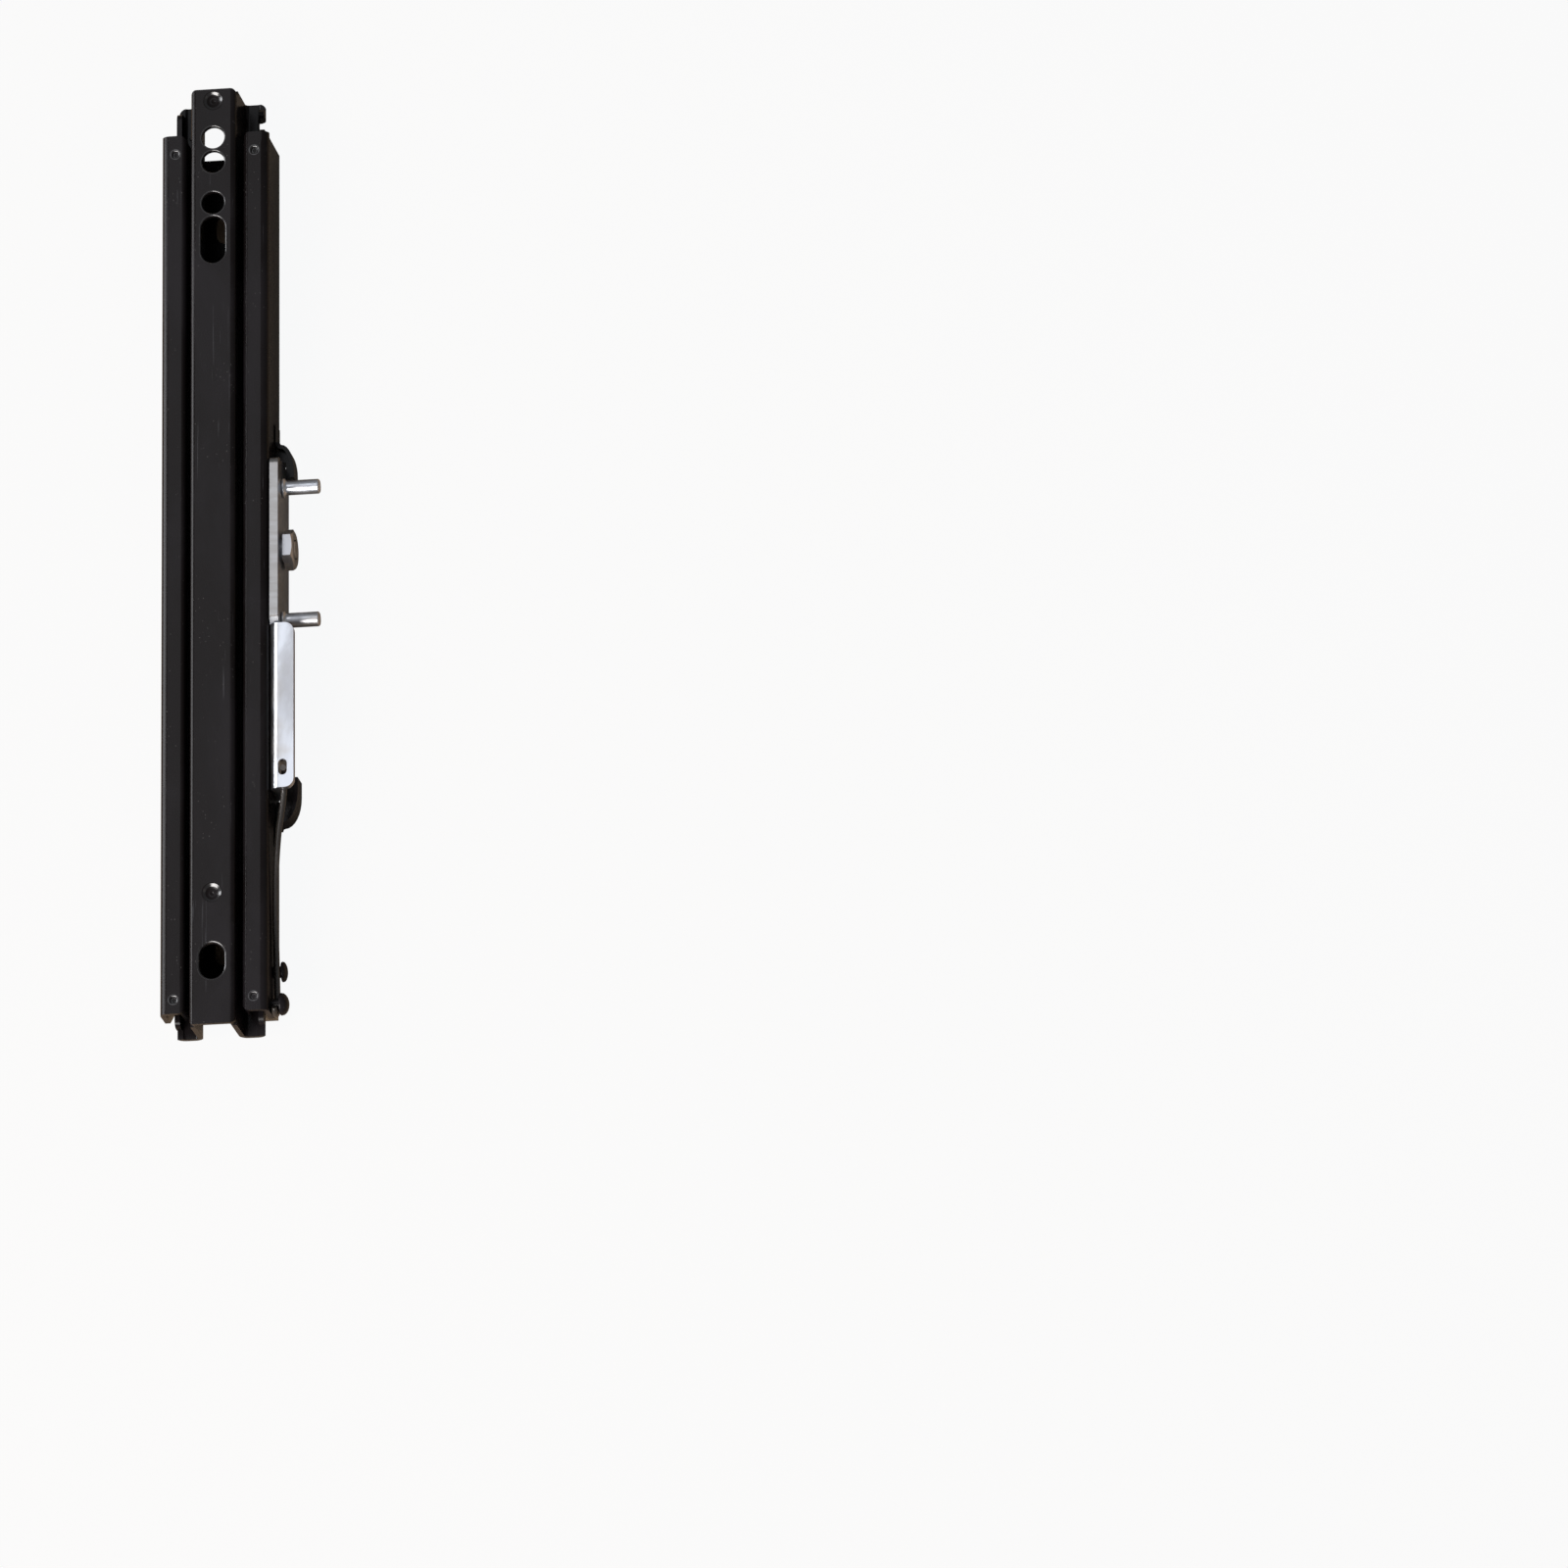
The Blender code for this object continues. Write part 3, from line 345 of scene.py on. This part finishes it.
def make_spring_wire():
    """Oil-blacked spring wire with drawing lines along it."""
    material, tree, shader = new_material("spring_wire_finish")
    clouds = use_group(tree, haze, "Mask", Patch_Size=90.0)
    marks = use_group(tree, scratches, "Mask", Lines=2200.0)
    cloudy = add_mix(tree, clouds, (0.020, 0.017, 0.015), (0.036, 0.030, 0.026))
    tree.links.new(add_mix(tree, add_maths(tree, "MULTIPLY", marks, 0.5), cloudy,
                           (0.13, 0.11, 0.095)), shader.inputs["Base Color"])
    tree.links.new(add_range(tree, clouds, 0.0, 1.0, 0.24, 0.38), shader.inputs["Roughness"])
    set_bump(tree, shader, use_group(tree, orange_peel, "Height", Grain=1600.0), 0.00001)
    return material


black_coat = make_black_coat()
zinc_plate = make_zinc("zinc_plate_finish", (0.62, 0.64, 0.68), (0.46, 0.47, 0.50),
                       (0.36, 0.31, 0.25))
nut_plate = make_zinc("nut_plate_finish", (0.44, 0.44, 0.46), (0.34, 0.33, 0.32),
                      (0.34, 0.28, 0.20))
bright_steel = make_bright_steel()
spring_wire = make_spring_wire()


def finish_of(node):
    """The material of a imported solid, by its name."""
    if node in ("lock_lever", "handle_pin_rear", "handle_pin_front"):
        return zinc_plate
    if node in ("pivot_nut", "pivot_stud"):
        return nut_plate
    if node == "lock_spring":
        return spring_wire
    if node.startswith(("ball", "roller")) and "cage" not in node:
        return bright_steel
    return black_coat


for name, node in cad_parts.items():
    for slot in node.material_slots:
        slot.material = finish_of(name)


# Modelling steps that the finer pieces share

# How far above a sheet its cutters start
cutter_lead = 0.0003


def select_none():
    """Leaves no object selected."""
    bpy.ops.object.select_all(action="DESELECT")


def select_only(item):
    """Selects one piece and makes it the active one."""
    select_none()
    item.select_set(True)
    bpy.context.view_layer.objects.active = item


def start_edit(item, mode="VERT"):
    """Opens a piece for editing with nothing on it selected."""
    select_only(item)
    bpy.ops.object.mode_set(mode="EDIT")
    bpy.ops.mesh.select_mode(type=mode)
    bpy.ops.mesh.select_all(action="DESELECT")


def end_edit():
    """Goes back from editing a piece."""
    bpy.ops.object.mode_set(mode="OBJECT")


def settle(item):
    """Leaves the piece's object at the origin, with its place in its mesh."""
    select_only(item)
    bpy.ops.object.transform_apply(location=True, rotation=True, scale=True)


def apply_step(item, kind, **values):
    """Adds a modifier with its values and applies it."""
    select_only(item)
    step = item.modifiers.new(kind.lower(), kind)
    for label, value in values.items():
        setattr(step, label, value)
    bpy.ops.object.modifier_apply(modifier=step.name)


def cut_with(item, tool, operation="DIFFERENCE"):
    """Cuts away, joins or keeps what is shared with another shape, which is then thrown away."""
    apply_step(item, "BOOLEAN", operation=operation, solver="EXACT", use_hole_tolerant=True,
               object=tool)
    bpy.data.objects.remove(tool, do_unlink=True)


def round_edges(item, width, segments=2, sharp=32.0):
    """Rounds every edge that turns by more than the sharp angle, in degrees."""
    apply_step(item, "BEVEL", width=width, segments=segments, limit_method="ANGLE",
               angle_limit=math.radians(sharp), use_clamp_overlap=True)


def smooth(item, degrees=34.0):
    """Shades curves smooth, and lets the large flat faces set the shading at their edges."""
    select_only(item)
    bpy.ops.object.shade_smooth_by_angle(angle=math.radians(degrees))
    apply_step(item, "WEIGHTED_NORMAL", keep_sharp=True, weight=80)


def clean_faces(item):
    """Merges doubled points and makes each flat area one face again."""
    start_edit(item)
    bpy.ops.mesh.select_all(action="SELECT")
    bpy.ops.mesh.remove_doubles(threshold=0.00001)
    bpy.ops.mesh.dissolve_limited(angle_limit=math.radians(0.4))
    bpy.ops.mesh.dissolve_degenerate(threshold=0.00001)
    bpy.ops.mesh.normals_make_consistent(inside=False)
    end_edit()


def dress(item, name, body, material, node):
    """Names a piece, gives it its finish and its body, and hides the solid it stands for.

    The body is None for a piece that is left without a body here.
    """
    item.name = name
    item.data.name = name
    item.data.materials.clear()
    item.data.materials.append(material)
    if body:
        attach(item, body)
    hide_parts(node)


def copy_of(node):
    """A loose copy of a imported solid, merged so that its edges can be worked."""
    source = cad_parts[node]
    item = bpy.data.objects.new(node + "_work", source.data.copy())
    bpy.context.scene.collection.objects.link(item)
    item.matrix_world = source.matrix_world.copy()
    settle(item)
    clean_faces(item)
    return item


def add_block(low, high):
    """A block between two corners."""
    select_none()
    middle = [(a + b) / 2 for a, b in zip(low, high)]
    bpy.ops.mesh.primitive_cube_add(size=1.0, location=middle)
    block = bpy.context.object
    bpy.ops.transform.resize(value=[b - a for a, b in zip(low, high)])
    settle(block)
    return block


def add_cylinder(sides, radius, depth, place, lying=False):
    """An upright cylinder, or one that lies along X."""
    select_none()
    bpy.ops.mesh.primitive_cylinder_add(
        vertices=sides, radius=radius, depth=depth, location=place,
        rotation=(0, math.radians(90) if lying else 0, 0))
    cylinder = bpy.context.object
    settle(cylinder)
    return cylinder


def turned_bar(stations, place, sides=48):
    """A bar turned along X: each station is an X and a radius, from the inner end outwards."""
    select_none()
    first_x, first_radius = stations[0]
    bpy.ops.mesh.primitive_circle_add(vertices=sides, radius=first_radius, fill_type="NGON",
                                      location=(first_x, *place),
                                      rotation=(0, math.radians(90), 0))
    bar = bpy.context.object
    settle(bar)
    start_edit(bar, "FACE")
    bpy.ops.mesh.select_all(action="SELECT")
    x, radius = first_x, first_radius
    for next_x, next_radius in stations[1:]:
        bpy.ops.mesh.extrude_region_move(
            TRANSFORM_OT_translate={"value": (next_x - x, 0, 0)})
        share = next_radius / radius
        bpy.ops.transform.resize(value=(1, share, share), center_override=(next_x, *place))
        x, radius = next_x, next_radius
    bpy.ops.mesh.select_all(action="SELECT")
    bpy.ops.mesh.remove_doubles(threshold=0.000001)
    bpy.ops.mesh.normals_make_consistent(inside=False)
    end_edit()
    return bar


def rim_cutter(place, width, length, top, depth, roll):
    """A cutter for a round hole or a slot in a level sheet, with a rolled upper rim."""
    select_none()
    bpy.ops.mesh.primitive_circle_add(vertices=56, radius=width / 2 + roll, fill_type="NGON",
                                      location=(*place, top + cutter_lead))
    cutter = bpy.context.object
    settle(cutter)
    ways = (1, -1) if length > width else ()
    for way in ways:
        start_edit(cutter)
        end_edit()
        for point in cutter.data.vertices:
            point.select = way * (point.co.y - place[1]) > 0
        bpy.ops.object.mode_set(mode="EDIT")
        bpy.ops.transform.translate(value=(0, way * (length - width) / 2, 0))
        end_edit()
    return sink_cutter(cutter, place, width, length, top, depth, roll)


def pit_cutter(place, size, top, depth, roll):
    """A cutter for a square pressed pit with rounded corners and a rolled rim."""
    select_none()
    bpy.ops.mesh.primitive_plane_add(size=size + 2 * roll, location=(*place, top + cutter_lead))
    cutter = bpy.context.object
    settle(cutter)
    start_edit(cutter)
    bpy.ops.mesh.select_all(action="SELECT")
    bpy.ops.mesh.bevel(offset=0.0012, segments=5, affect="VERTICES")
    end_edit()
    return sink_cutter(cutter, place, size, size, top, depth, roll)


def sink_cutter(cutter, place, width, length, top, depth, roll):
    """Draws a flat outline down through a rolled rim to its full depth."""
    start_edit(cutter, "FACE")
    bpy.ops.mesh.select_all(action="SELECT")
    z, across = top + cutter_lead, width + 2 * roll
    levels = [(top, across)]
    for degrees in (18, 36, 54, 72, 90):
        turn = math.radians(degrees)
        levels.append((top - roll * (1 - math.cos(turn)), across - 2 * roll * math.sin(turn)))
    levels.append((top - depth, width))
    spare = length - width
    for next_z, next_across in levels:
        bpy.ops.mesh.extrude_region_move(TRANSFORM_OT_translate={"value": (0, 0, next_z - z)})
        bpy.ops.transform.resize(
            value=(next_across / across, (next_across + spare) / (across + spare), 1),
            center_override=(*place, next_z))
        z, across = next_z, next_across
    bpy.ops.mesh.select_all(action="SELECT")
    bpy.ops.mesh.normals_make_consistent(inside=False)
    end_edit()
    return cutter


def dished_cutter(place, levels):
    """A cutter for a round pressed pit: each level is a Z and a radius, from the top down."""
    select_none()
    z, radius = levels[0]
    bpy.ops.mesh.primitive_circle_add(vertices=40, radius=radius, fill_type="NGON",
                                      location=(*place, z))
    cutter = bpy.context.object
    settle(cutter)
    start_edit(cutter, "FACE")
    bpy.ops.mesh.select_all(action="SELECT")
    for next_z, next_radius in levels[1:]:
        bpy.ops.mesh.extrude_region_move(TRANSFORM_OT_translate={"value": (0, 0, next_z - z)})
        share = next_radius / radius
        bpy.ops.transform.resize(value=(share, share, 1), center_override=(*place, next_z))
        z, radius = next_z, next_radius
    bpy.ops.mesh.select_all(action="SELECT")
    bpy.ops.mesh.normals_make_consistent(inside=False)
    end_edit()
    return cutter


# The finer pieces

def make_outer_channel():
    """The outer channel, with small rimmed pits in place of the lips' square pockets."""
    channel = copy_of("outer_channel")
    pocket_half, pocket_floor = 0.0026, 0.0257
    for x, y in pit_places:
        fill = add_block((x - pocket_half, y - pocket_half, pocket_floor),
                         (x + pocket_half, y + pocket_half, lip_top))
        cut_with(channel, fill, "UNION")
    clean_faces(channel)
    round_edges(channel, 0.00022)
    for place in pit_places:
        cut_with(channel, pit_cutter(place, size=0.0020, top=lip_top, depth=0.0011, roll=0.0008))
    smooth(channel)
    dress(channel, "outer_channel_skin", "outer_rail", black_coat, "outer_channel")


def corner_waste(side):
    """What is left outside the round of a flange's rear corner."""
    radius, room = 0.0030, 0.0035
    x, y = side * (flange_side - radius), rear_end - radius
    waste = add_block((min(x, x + side * room), y, 0.0050),
                      (max(x, x + side * room), y + room, 0.0160))
    cut_with(waste, add_cylinder(48, radius, 0.0300, (x, y, 0.0105)))
    return waste


def make_hat_channel():
    """The hat channel: rolled rims on its punched holes, dished stops, rounded rear corners."""
    channel = copy_of("inner_channel")
    round_edges(channel, 0.00018)
    for side in (1, -1):
        cut_with(channel, corner_waste(side))
    hole_width, hole_roll, slot_width = 0.00875, 0.0005, 0.00955
    through = 0.0030
    for y in hole_places:
        cut_with(channel, rim_cutter((0, y), hole_width, hole_width, strip_top, through,
                                     hole_roll))
    for y, length, roll, _, _ in slot_sizes:
        cut_with(channel, rim_cutter((0, y), slot_width, length, strip_top, through, roll))
    # Each level of a pressed stop: its depth under the strip's top, and its radius
    dish = ((-cutter_lead, 0.0040), (0.0, 0.0040), (0.00006, 0.0037), (0.00022, 0.0034),
            (0.0006, 0.0029), (0.0010, 0.0021), (0.00115, 0.0012), (0.00115, 0.0006),
            (0.0014, 0.0003))
    for y in stop_places:
        levels = [(strip_top - depth, radius) for depth, radius in dish]
        cut_with(channel, dished_cutter((0, y), levels))
    smooth(channel)
    dress(channel, "hat_channel_skin", "hat_rail", black_coat, "inner_channel")


def make_lever():
    """The lock lever, with its pressed edges rounded."""
    lever = copy_of("lock_lever")
    round_edges(lever, 0.00035, 3)
    smooth(lever)
    dress(lever, "lock_lever_skin", "lever", zinc_plate, "lock_lever")


def make_ear(end):
    """A guide ear: its foot pressed thin on the wall, and a web between its curve and the wall."""
    reach, start, inward, run, length, web_start = ear_sizes[end]
    ear = copy_of(f"guide_ear_{end}")
    foot_thickness, half_strip = 0.0005, 0.0008
    near, far = sorted((start - inward * 0.0020, start - inward * 0.0110))
    cut_with(ear, add_block((wall_face + foot_thickness, near, 0.0030), (0.0240, far, 0.0150)))
    # The web is an oval disc, cut off short of the wall, of the ear's end and of the lever
    web_height, web_middle, web_gap = 0.0064, 0.0078, 0.0003
    middle_x, middle_y = wall_face + 0.00235, start + inward * run
    select_none()
    bpy.ops.mesh.primitive_cylinder_add(vertices=64, radius=1.0, depth=web_height,
                                        location=(middle_x, middle_y, web_middle))
    web = bpy.context.object
    bpy.ops.transform.resize(value=(wall_face + reach - half_strip - middle_x, run, 1))
    settle(web)
    start_edit(web, "FACE")
    for place, way in (((wall_face + web_gap, 0, 0), (-1, 0, 0)),
                       ((0, start + inward * (length - 0.0001), 0), (0, inward, 0))):
        bpy.ops.mesh.select_all(action="SELECT")
        bpy.ops.mesh.bisect(plane_co=place, plane_no=way, use_fill=True, clear_outer=True)
    end_edit()
    near, far = sorted((start + inward * web_start, start + inward * 2 * run))
    cut_with(web, add_block((0.0150, near, 0.0020), (lever_outer_face + 0.0004, far, 0.0150)))
    cut_with(ear, web, "UNION")
    clean_faces(ear)
    round_edges(ear, 0.0004, 3)
    smooth(ear)
    dress(ear, f"guide_ear_{end}_skin", "outer_rail", black_coat, f"guide_ear_{end}")


def make_pin(end):
    """A shouldered pin, riveted in the lever: a filleted collar, a plain shank, a dimpled end."""
    seat = lever_outer_face + 0.0003
    tip = lever_outer_face + pin_reach
    stations = [(lever_inner_face, 0.0018), (lever_inner_face + 0.0002, 0.0020), (seat, 0.0020),
                (seat, 0.0037), (seat + 0.0002, 0.0039), (seat + 0.0007, 0.0039),
                (seat + 0.0010, 0.0036), (seat + 0.0011, 0.0032), (seat + 0.0014, 0.00295),
                (seat + 0.0020, 0.00285), (tip - 0.0006, 0.00285), (tip - 0.0002, 0.00262),
                (tip, 0.0023), (tip, 0.0012), (tip - 0.0004, 0.0008), (tip - 0.0005, 0.0003)]
    pin = turned_bar(stations, pin_places[end])
    smooth(pin, 40.0)
    dress(pin, f"handle_pin_{end}_turned", "lever", zinc_plate, f"handle_pin_{end}")


def make_post(end):
    """A spring post: a rivet with a thick domed head over the wire."""
    reach, head_radius, head_height = post_sizes[end]
    start = wall_face + reach - head_height
    inner = wall_face - wall_thickness
    rim = 0.0006
    stations = [(inner, 0.0022), (start, 0.00225), (start, head_radius - 0.0002),
                (start + 0.0002, head_radius), (start + rim, head_radius)]
    rise = head_height - rim
    for degrees in (18, 36, 52, 66, 78, 86):
        turn = math.radians(degrees)
        stations.append((start + rim + rise * math.sin(turn), head_radius * math.cos(turn)))
    post = turned_bar(stations, post_places[end])
    smooth(post, 50.0)
    dress(post, f"spring_post_{end}_turned", "outer_rail", black_coat,
          f"spring_post_{end}")


def make_nut():
    """A hexagon nut with a crowned outer face and a plain bore."""
    seat = lever_outer_face + 0.0009
    across_flats, bore_radius = 0.0143, 0.0040
    crown_radius, crown_slope, crown_depth = 0.0066, 1.93, 0.0120
    middle = (seat + nut_height / 2, *pivot_place)
    nut = add_cylinder(6, across_flats / 2 / math.cos(math.radians(30)), nut_height, middle, True)
    select_none()
    bpy.ops.mesh.primitive_cone_add(
        vertices=96, radius1=crown_radius + crown_depth * crown_slope, radius2=crown_radius,
        depth=crown_depth, rotation=(0, math.radians(90), 0),
        location=(seat + nut_height - crown_depth / 2, *pivot_place))
    crown = bpy.context.object
    settle(crown)
    cut_with(nut, crown, "INTERSECT")
    cut_with(nut, add_cylinder(64, bore_radius, 3 * nut_height, middle, True))
    round_edges(nut, 0.00018, 2, 20.0)
    smooth(nut, 30.0)
    dress(nut, "pivot_nut_turned", "outer_rail", nut_plate, "pivot_nut")


def make_stud():
    """The pivot stud: a shoulder in the lever's bore and a threaded end through the nut."""
    shoulder_end = lever_outer_face + 0.0006
    tip = shoulder_end + nut_height + 0.0006
    stations = [(wall_face - wall_thickness, 0.0035), (wall_face - 0.0018, 0.0037),
                (wall_face + 0.0001, 0.0037), (wall_face + 0.0001, 0.0050),
                (shoulder_end, 0.0050), (shoulder_end, 0.0036)]
    pitch = 0.00125
    x = shoulder_end + 0.0002
    while x + pitch < tip - 0.0003:
        stations += [(x + pitch * 0.45, 0.0037), (x + pitch * 0.60, 0.0037),
                     (x + pitch, 0.0033)]
        x += pitch
    stations += [(tip - 0.0003, 0.0034), (tip, 0.0030), (tip, 0.0012), (tip - 0.0003, 0.0006)]
    stud = turned_bar(stations, pivot_place, 64)
    smooth(stud, 35.0)
    dress(stud, "pivot_stud_turned", "outer_rail", nut_plate, "pivot_stud")


def wire_points():
    """The spring's own line: out of the lever's eye, along the wall, over and round the posts."""
    eye_x, eye_y, low_z = 0.02635, -0.0860, 0.0213
    turn, hook_radius, wall_x = 0.0025, 0.00375, 0.0224
    points = [Vector((eye_x, eye_y, 0.0248)), Vector((eye_x, eye_y, low_z + turn))]
    for degrees in (18, 36, 54, 72, 90):
        angle = math.radians(degrees)
        points.append(Vector((eye_x, eye_y - turn * (1 - math.cos(angle)),
                              low_z + turn * (1 - math.sin(angle)))))
    points += [Vector((0.02596, -0.09596, 0.0213)), Vector((0.02366, -0.11312, 0.02069)),
               Vector((wall_x, -0.13774, 0.01903)), Vector((wall_x, -0.1631, 0.01625)),
               Vector((wall_x, -0.1775, 0.01475))]
    post_y, post_z = post_places["front"]
    for degrees in (251, 232, 214, 195, 176, 158, 139, 120):
        angle = math.radians(degrees)
        points.append(Vector((wall_x, post_y + hook_radius * math.cos(angle),
                              post_z + hook_radius * math.sin(angle))))
    return points


def make_spring():
    """The lock spring as one drawn wire, with a turn at its eye end."""
    curve = bpy.data.curves.new("lock_spring_line", "CURVE")
    curve.dimensions = "3D"
    curve.bevel_depth = wire_radius
    curve.bevel_resolution = 6
    curve.use_fill_caps = True
    line = curve.splines.new("BEZIER")
    places = wire_points()
    line.bezier_points.add(len(places) - 1)
    for point, place in zip(line.bezier_points, places):
        point.co = place
        point.handle_left_type = "AUTO"
        point.handle_right_type = "AUTO"
    line.resolution_u = 10
    spring = bpy.data.objects.new("lock_spring_line", curve)
    bpy.context.scene.collection.objects.link(spring)
    select_only(spring)
    bpy.ops.object.convert(target="MESH")
    spring = bpy.context.object
    smooth(spring, 50.0)
    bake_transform(spring)
    dress(spring, "lock_spring_drawn", None, spring_wire, "lock_spring")


make_outer_channel()
make_hat_channel()
make_lever()
make_ear("rear")
make_ear("front")
make_pin("rear")
make_pin("front")
make_post("rear")
make_post("front")
make_nut()
make_stud()
make_spring()


# Floor, light and camera

backdrop_colour = (0.99, 0.995, 1.0, 1.0)
camera_share = 0.94
glossy_share = 0.03


def add_open_floor(tree):
    """1 on the open floor and 0 under the rail's base, where no light gets in."""
    base_half, base_rear, base_front = 0.0200, 0.1680, -0.1785
    axes = add_axes(tree)
    across = add_maths(tree, "ABSOLUTE", axes["X"])
    beside = add_maths(tree, "GREATER_THAN", across, base_half)
    behind = add_maths(tree, "GREATER_THAN", axes["Y"], base_rear)
    before = add_maths(tree, "LESS_THAN", axes["Y"], base_front)
    return add_maths(tree, "MAXIMUM", beside, add_maths(tree, "MAXIMUM", behind, before))


def make_floor():
    """A plain floor: pale to the camera, nearly as the backdrop, and a warm brown to the light."""
    select_none()
    bpy.ops.mesh.primitive_plane_add(size=60.0, location=(0, 0, -0.0002))
    floor = bpy.context.object
    floor.name = "floor"
    material, tree, shader = new_material("floor_paper")
    shader.inputs["Base Color"].default_value = (0.26, 0.19, 0.13, 1.0)
    shader.inputs["Roughness"].default_value = 0.9
    shader.inputs["Specular IOR Level"].default_value = 0.0
    glow = add_node(tree, "ShaderNodeEmission")
    glow.inputs["Color"].default_value = backdrop_colour
    seen = add_node(tree, "ShaderNodeLightPath")
    shine = add_maths(tree, "MULTIPLY", seen.outputs["Is Glossy Ray"], glossy_share)
    direct = add_maths(tree, "MULTIPLY", seen.outputs["Is Camera Ray"], camera_share)
    open_floor = add_open_floor(tree)
    mixer = add_node(tree, "ShaderNodeMixShader")
    tree.links.new(add_maths(tree, "MULTIPLY", add_maths(tree, "MAXIMUM", direct, shine),
                             open_floor), mixer.inputs["Fac"])
    tree.links.new(shader.outputs["BSDF"], mixer.inputs[1])
    tree.links.new(glow.outputs["Emission"], mixer.inputs[2])
    tree.links.new(mixer.outputs["Shader"], tree.nodes["Material Output"].inputs["Surface"])
    floor.data.materials.append(material)


def make_world():
    """A dim pale room for the light, and the bright backdrop for the camera."""
    world = bpy.data.worlds.new("studio")
    bpy.context.scene.world = world
    world.use_nodes = True
    tree = world.node_tree
    tree.nodes.clear()
    seen = add_node(tree, "ShaderNodeLightPath")
    room = add_node(tree, "ShaderNodeBackground")
    room.inputs["Color"].default_value = (0.93, 0.96, 1.0, 1.0)
    room.inputs["Strength"].default_value = 0.24
    backdrop = add_node(tree, "ShaderNodeBackground")
    backdrop.inputs["Color"].default_value = backdrop_colour
    mixer = add_node(tree, "ShaderNodeMixShader")
    output = add_node(tree, "ShaderNodeOutputWorld")
    tree.links.new(seen.outputs["Is Camera Ray"], mixer.inputs["Fac"])
    tree.links.new(room.outputs["Background"], mixer.inputs[1])
    tree.links.new(backdrop.outputs["Background"], mixer.inputs[2])
    tree.links.new(mixer.outputs["Shader"], output.inputs["Surface"])


def add_softbox(name, place, width, height, power, colour):
    """A softbox turned to the middle of the rail."""
    light = bpy.data.lights.new(name, "AREA")
    light.shape = "RECTANGLE"
    light.size = width
    light.size_y = height
    light.energy = power
    light.color = colour
    lamp = bpy.data.objects.new(name, light)
    bpy.context.scene.collection.objects.link(lamp)
    lamp.location = place
    lamp.rotation_euler = (-Vector(place)).to_track_quat("-Z", "Y").to_euler()


# Viewing angle of the photograph: slopes of the line of sight, and the turn of the picture
sight_slope_x = math.tan(math.radians(10.8))
sight_slope_y = math.tan(math.radians(18.07))
picture_turn = math.radians(0.12)
camera_distance = 5.0
picture_pixels = 1600
pixels_per_metre = 2659.1
rail_pixel = (231.95, 586.62)


def make_camera():
    """Sees the rail where the photograph has it: left of the middle and a little above."""
    back = Vector((sight_slope_x, -sight_slope_y, 1.0)).normalized()
    up = (Vector((0, 1, 0)) - back * back.y).normalized()
    right = up.cross(back)
    turn = Matrix.Rotation(picture_turn, 3, back)
    right, up = turn @ right, turn @ up
    camera = bpy.data.cameras.new("camera")
    camera.sensor_width = 36.0
    picture_width = picture_pixels / pixels_per_metre
    camera.lens = camera.sensor_width * camera_distance / picture_width
    camera.clip_start = 0.1
    camera.clip_end = 100.0
    item = bpy.data.objects.new("camera", camera)
    bpy.context.scene.collection.objects.link(item)
    place = back * camera_distance
    across = (picture_pixels / 2 - rail_pixel[0]) / pixels_per_metre
    down = (picture_pixels / 2 - rail_pixel[1]) / pixels_per_metre
    aim = right * across - up * down
    toward = (place - aim).normalized()
    side = up.cross(toward).normalized()
    top = toward.cross(side)
    item.matrix_world = Matrix.Translation(place) @ Matrix(
        (side, top, toward)).transposed().to_4x4()
    bpy.context.scene.camera = item


make_floor()
make_world()
add_softbox("key_softbox", (-0.9, -1.15, 1.35), 1.6, 0.9, 85.0, (1.0, 0.97, 0.95))
add_softbox("left_softbox", (-1.7, 0.55, 0.75), 0.6, 1.3, 22.0, (0.96, 0.97, 1.0))
add_softbox("top_softbox", (-0.4, 0.7, 2.1), 1.3, 1.0, 5.9, (0.93, 0.95, 1.0))
add_softbox("right_softbox", (1.6, -0.3, 1.0), 0.7, 1.2, 0.9, (1.0, 0.90, 0.80))
make_camera()
bpy.context.scene.view_settings.view_transform = "Standard"
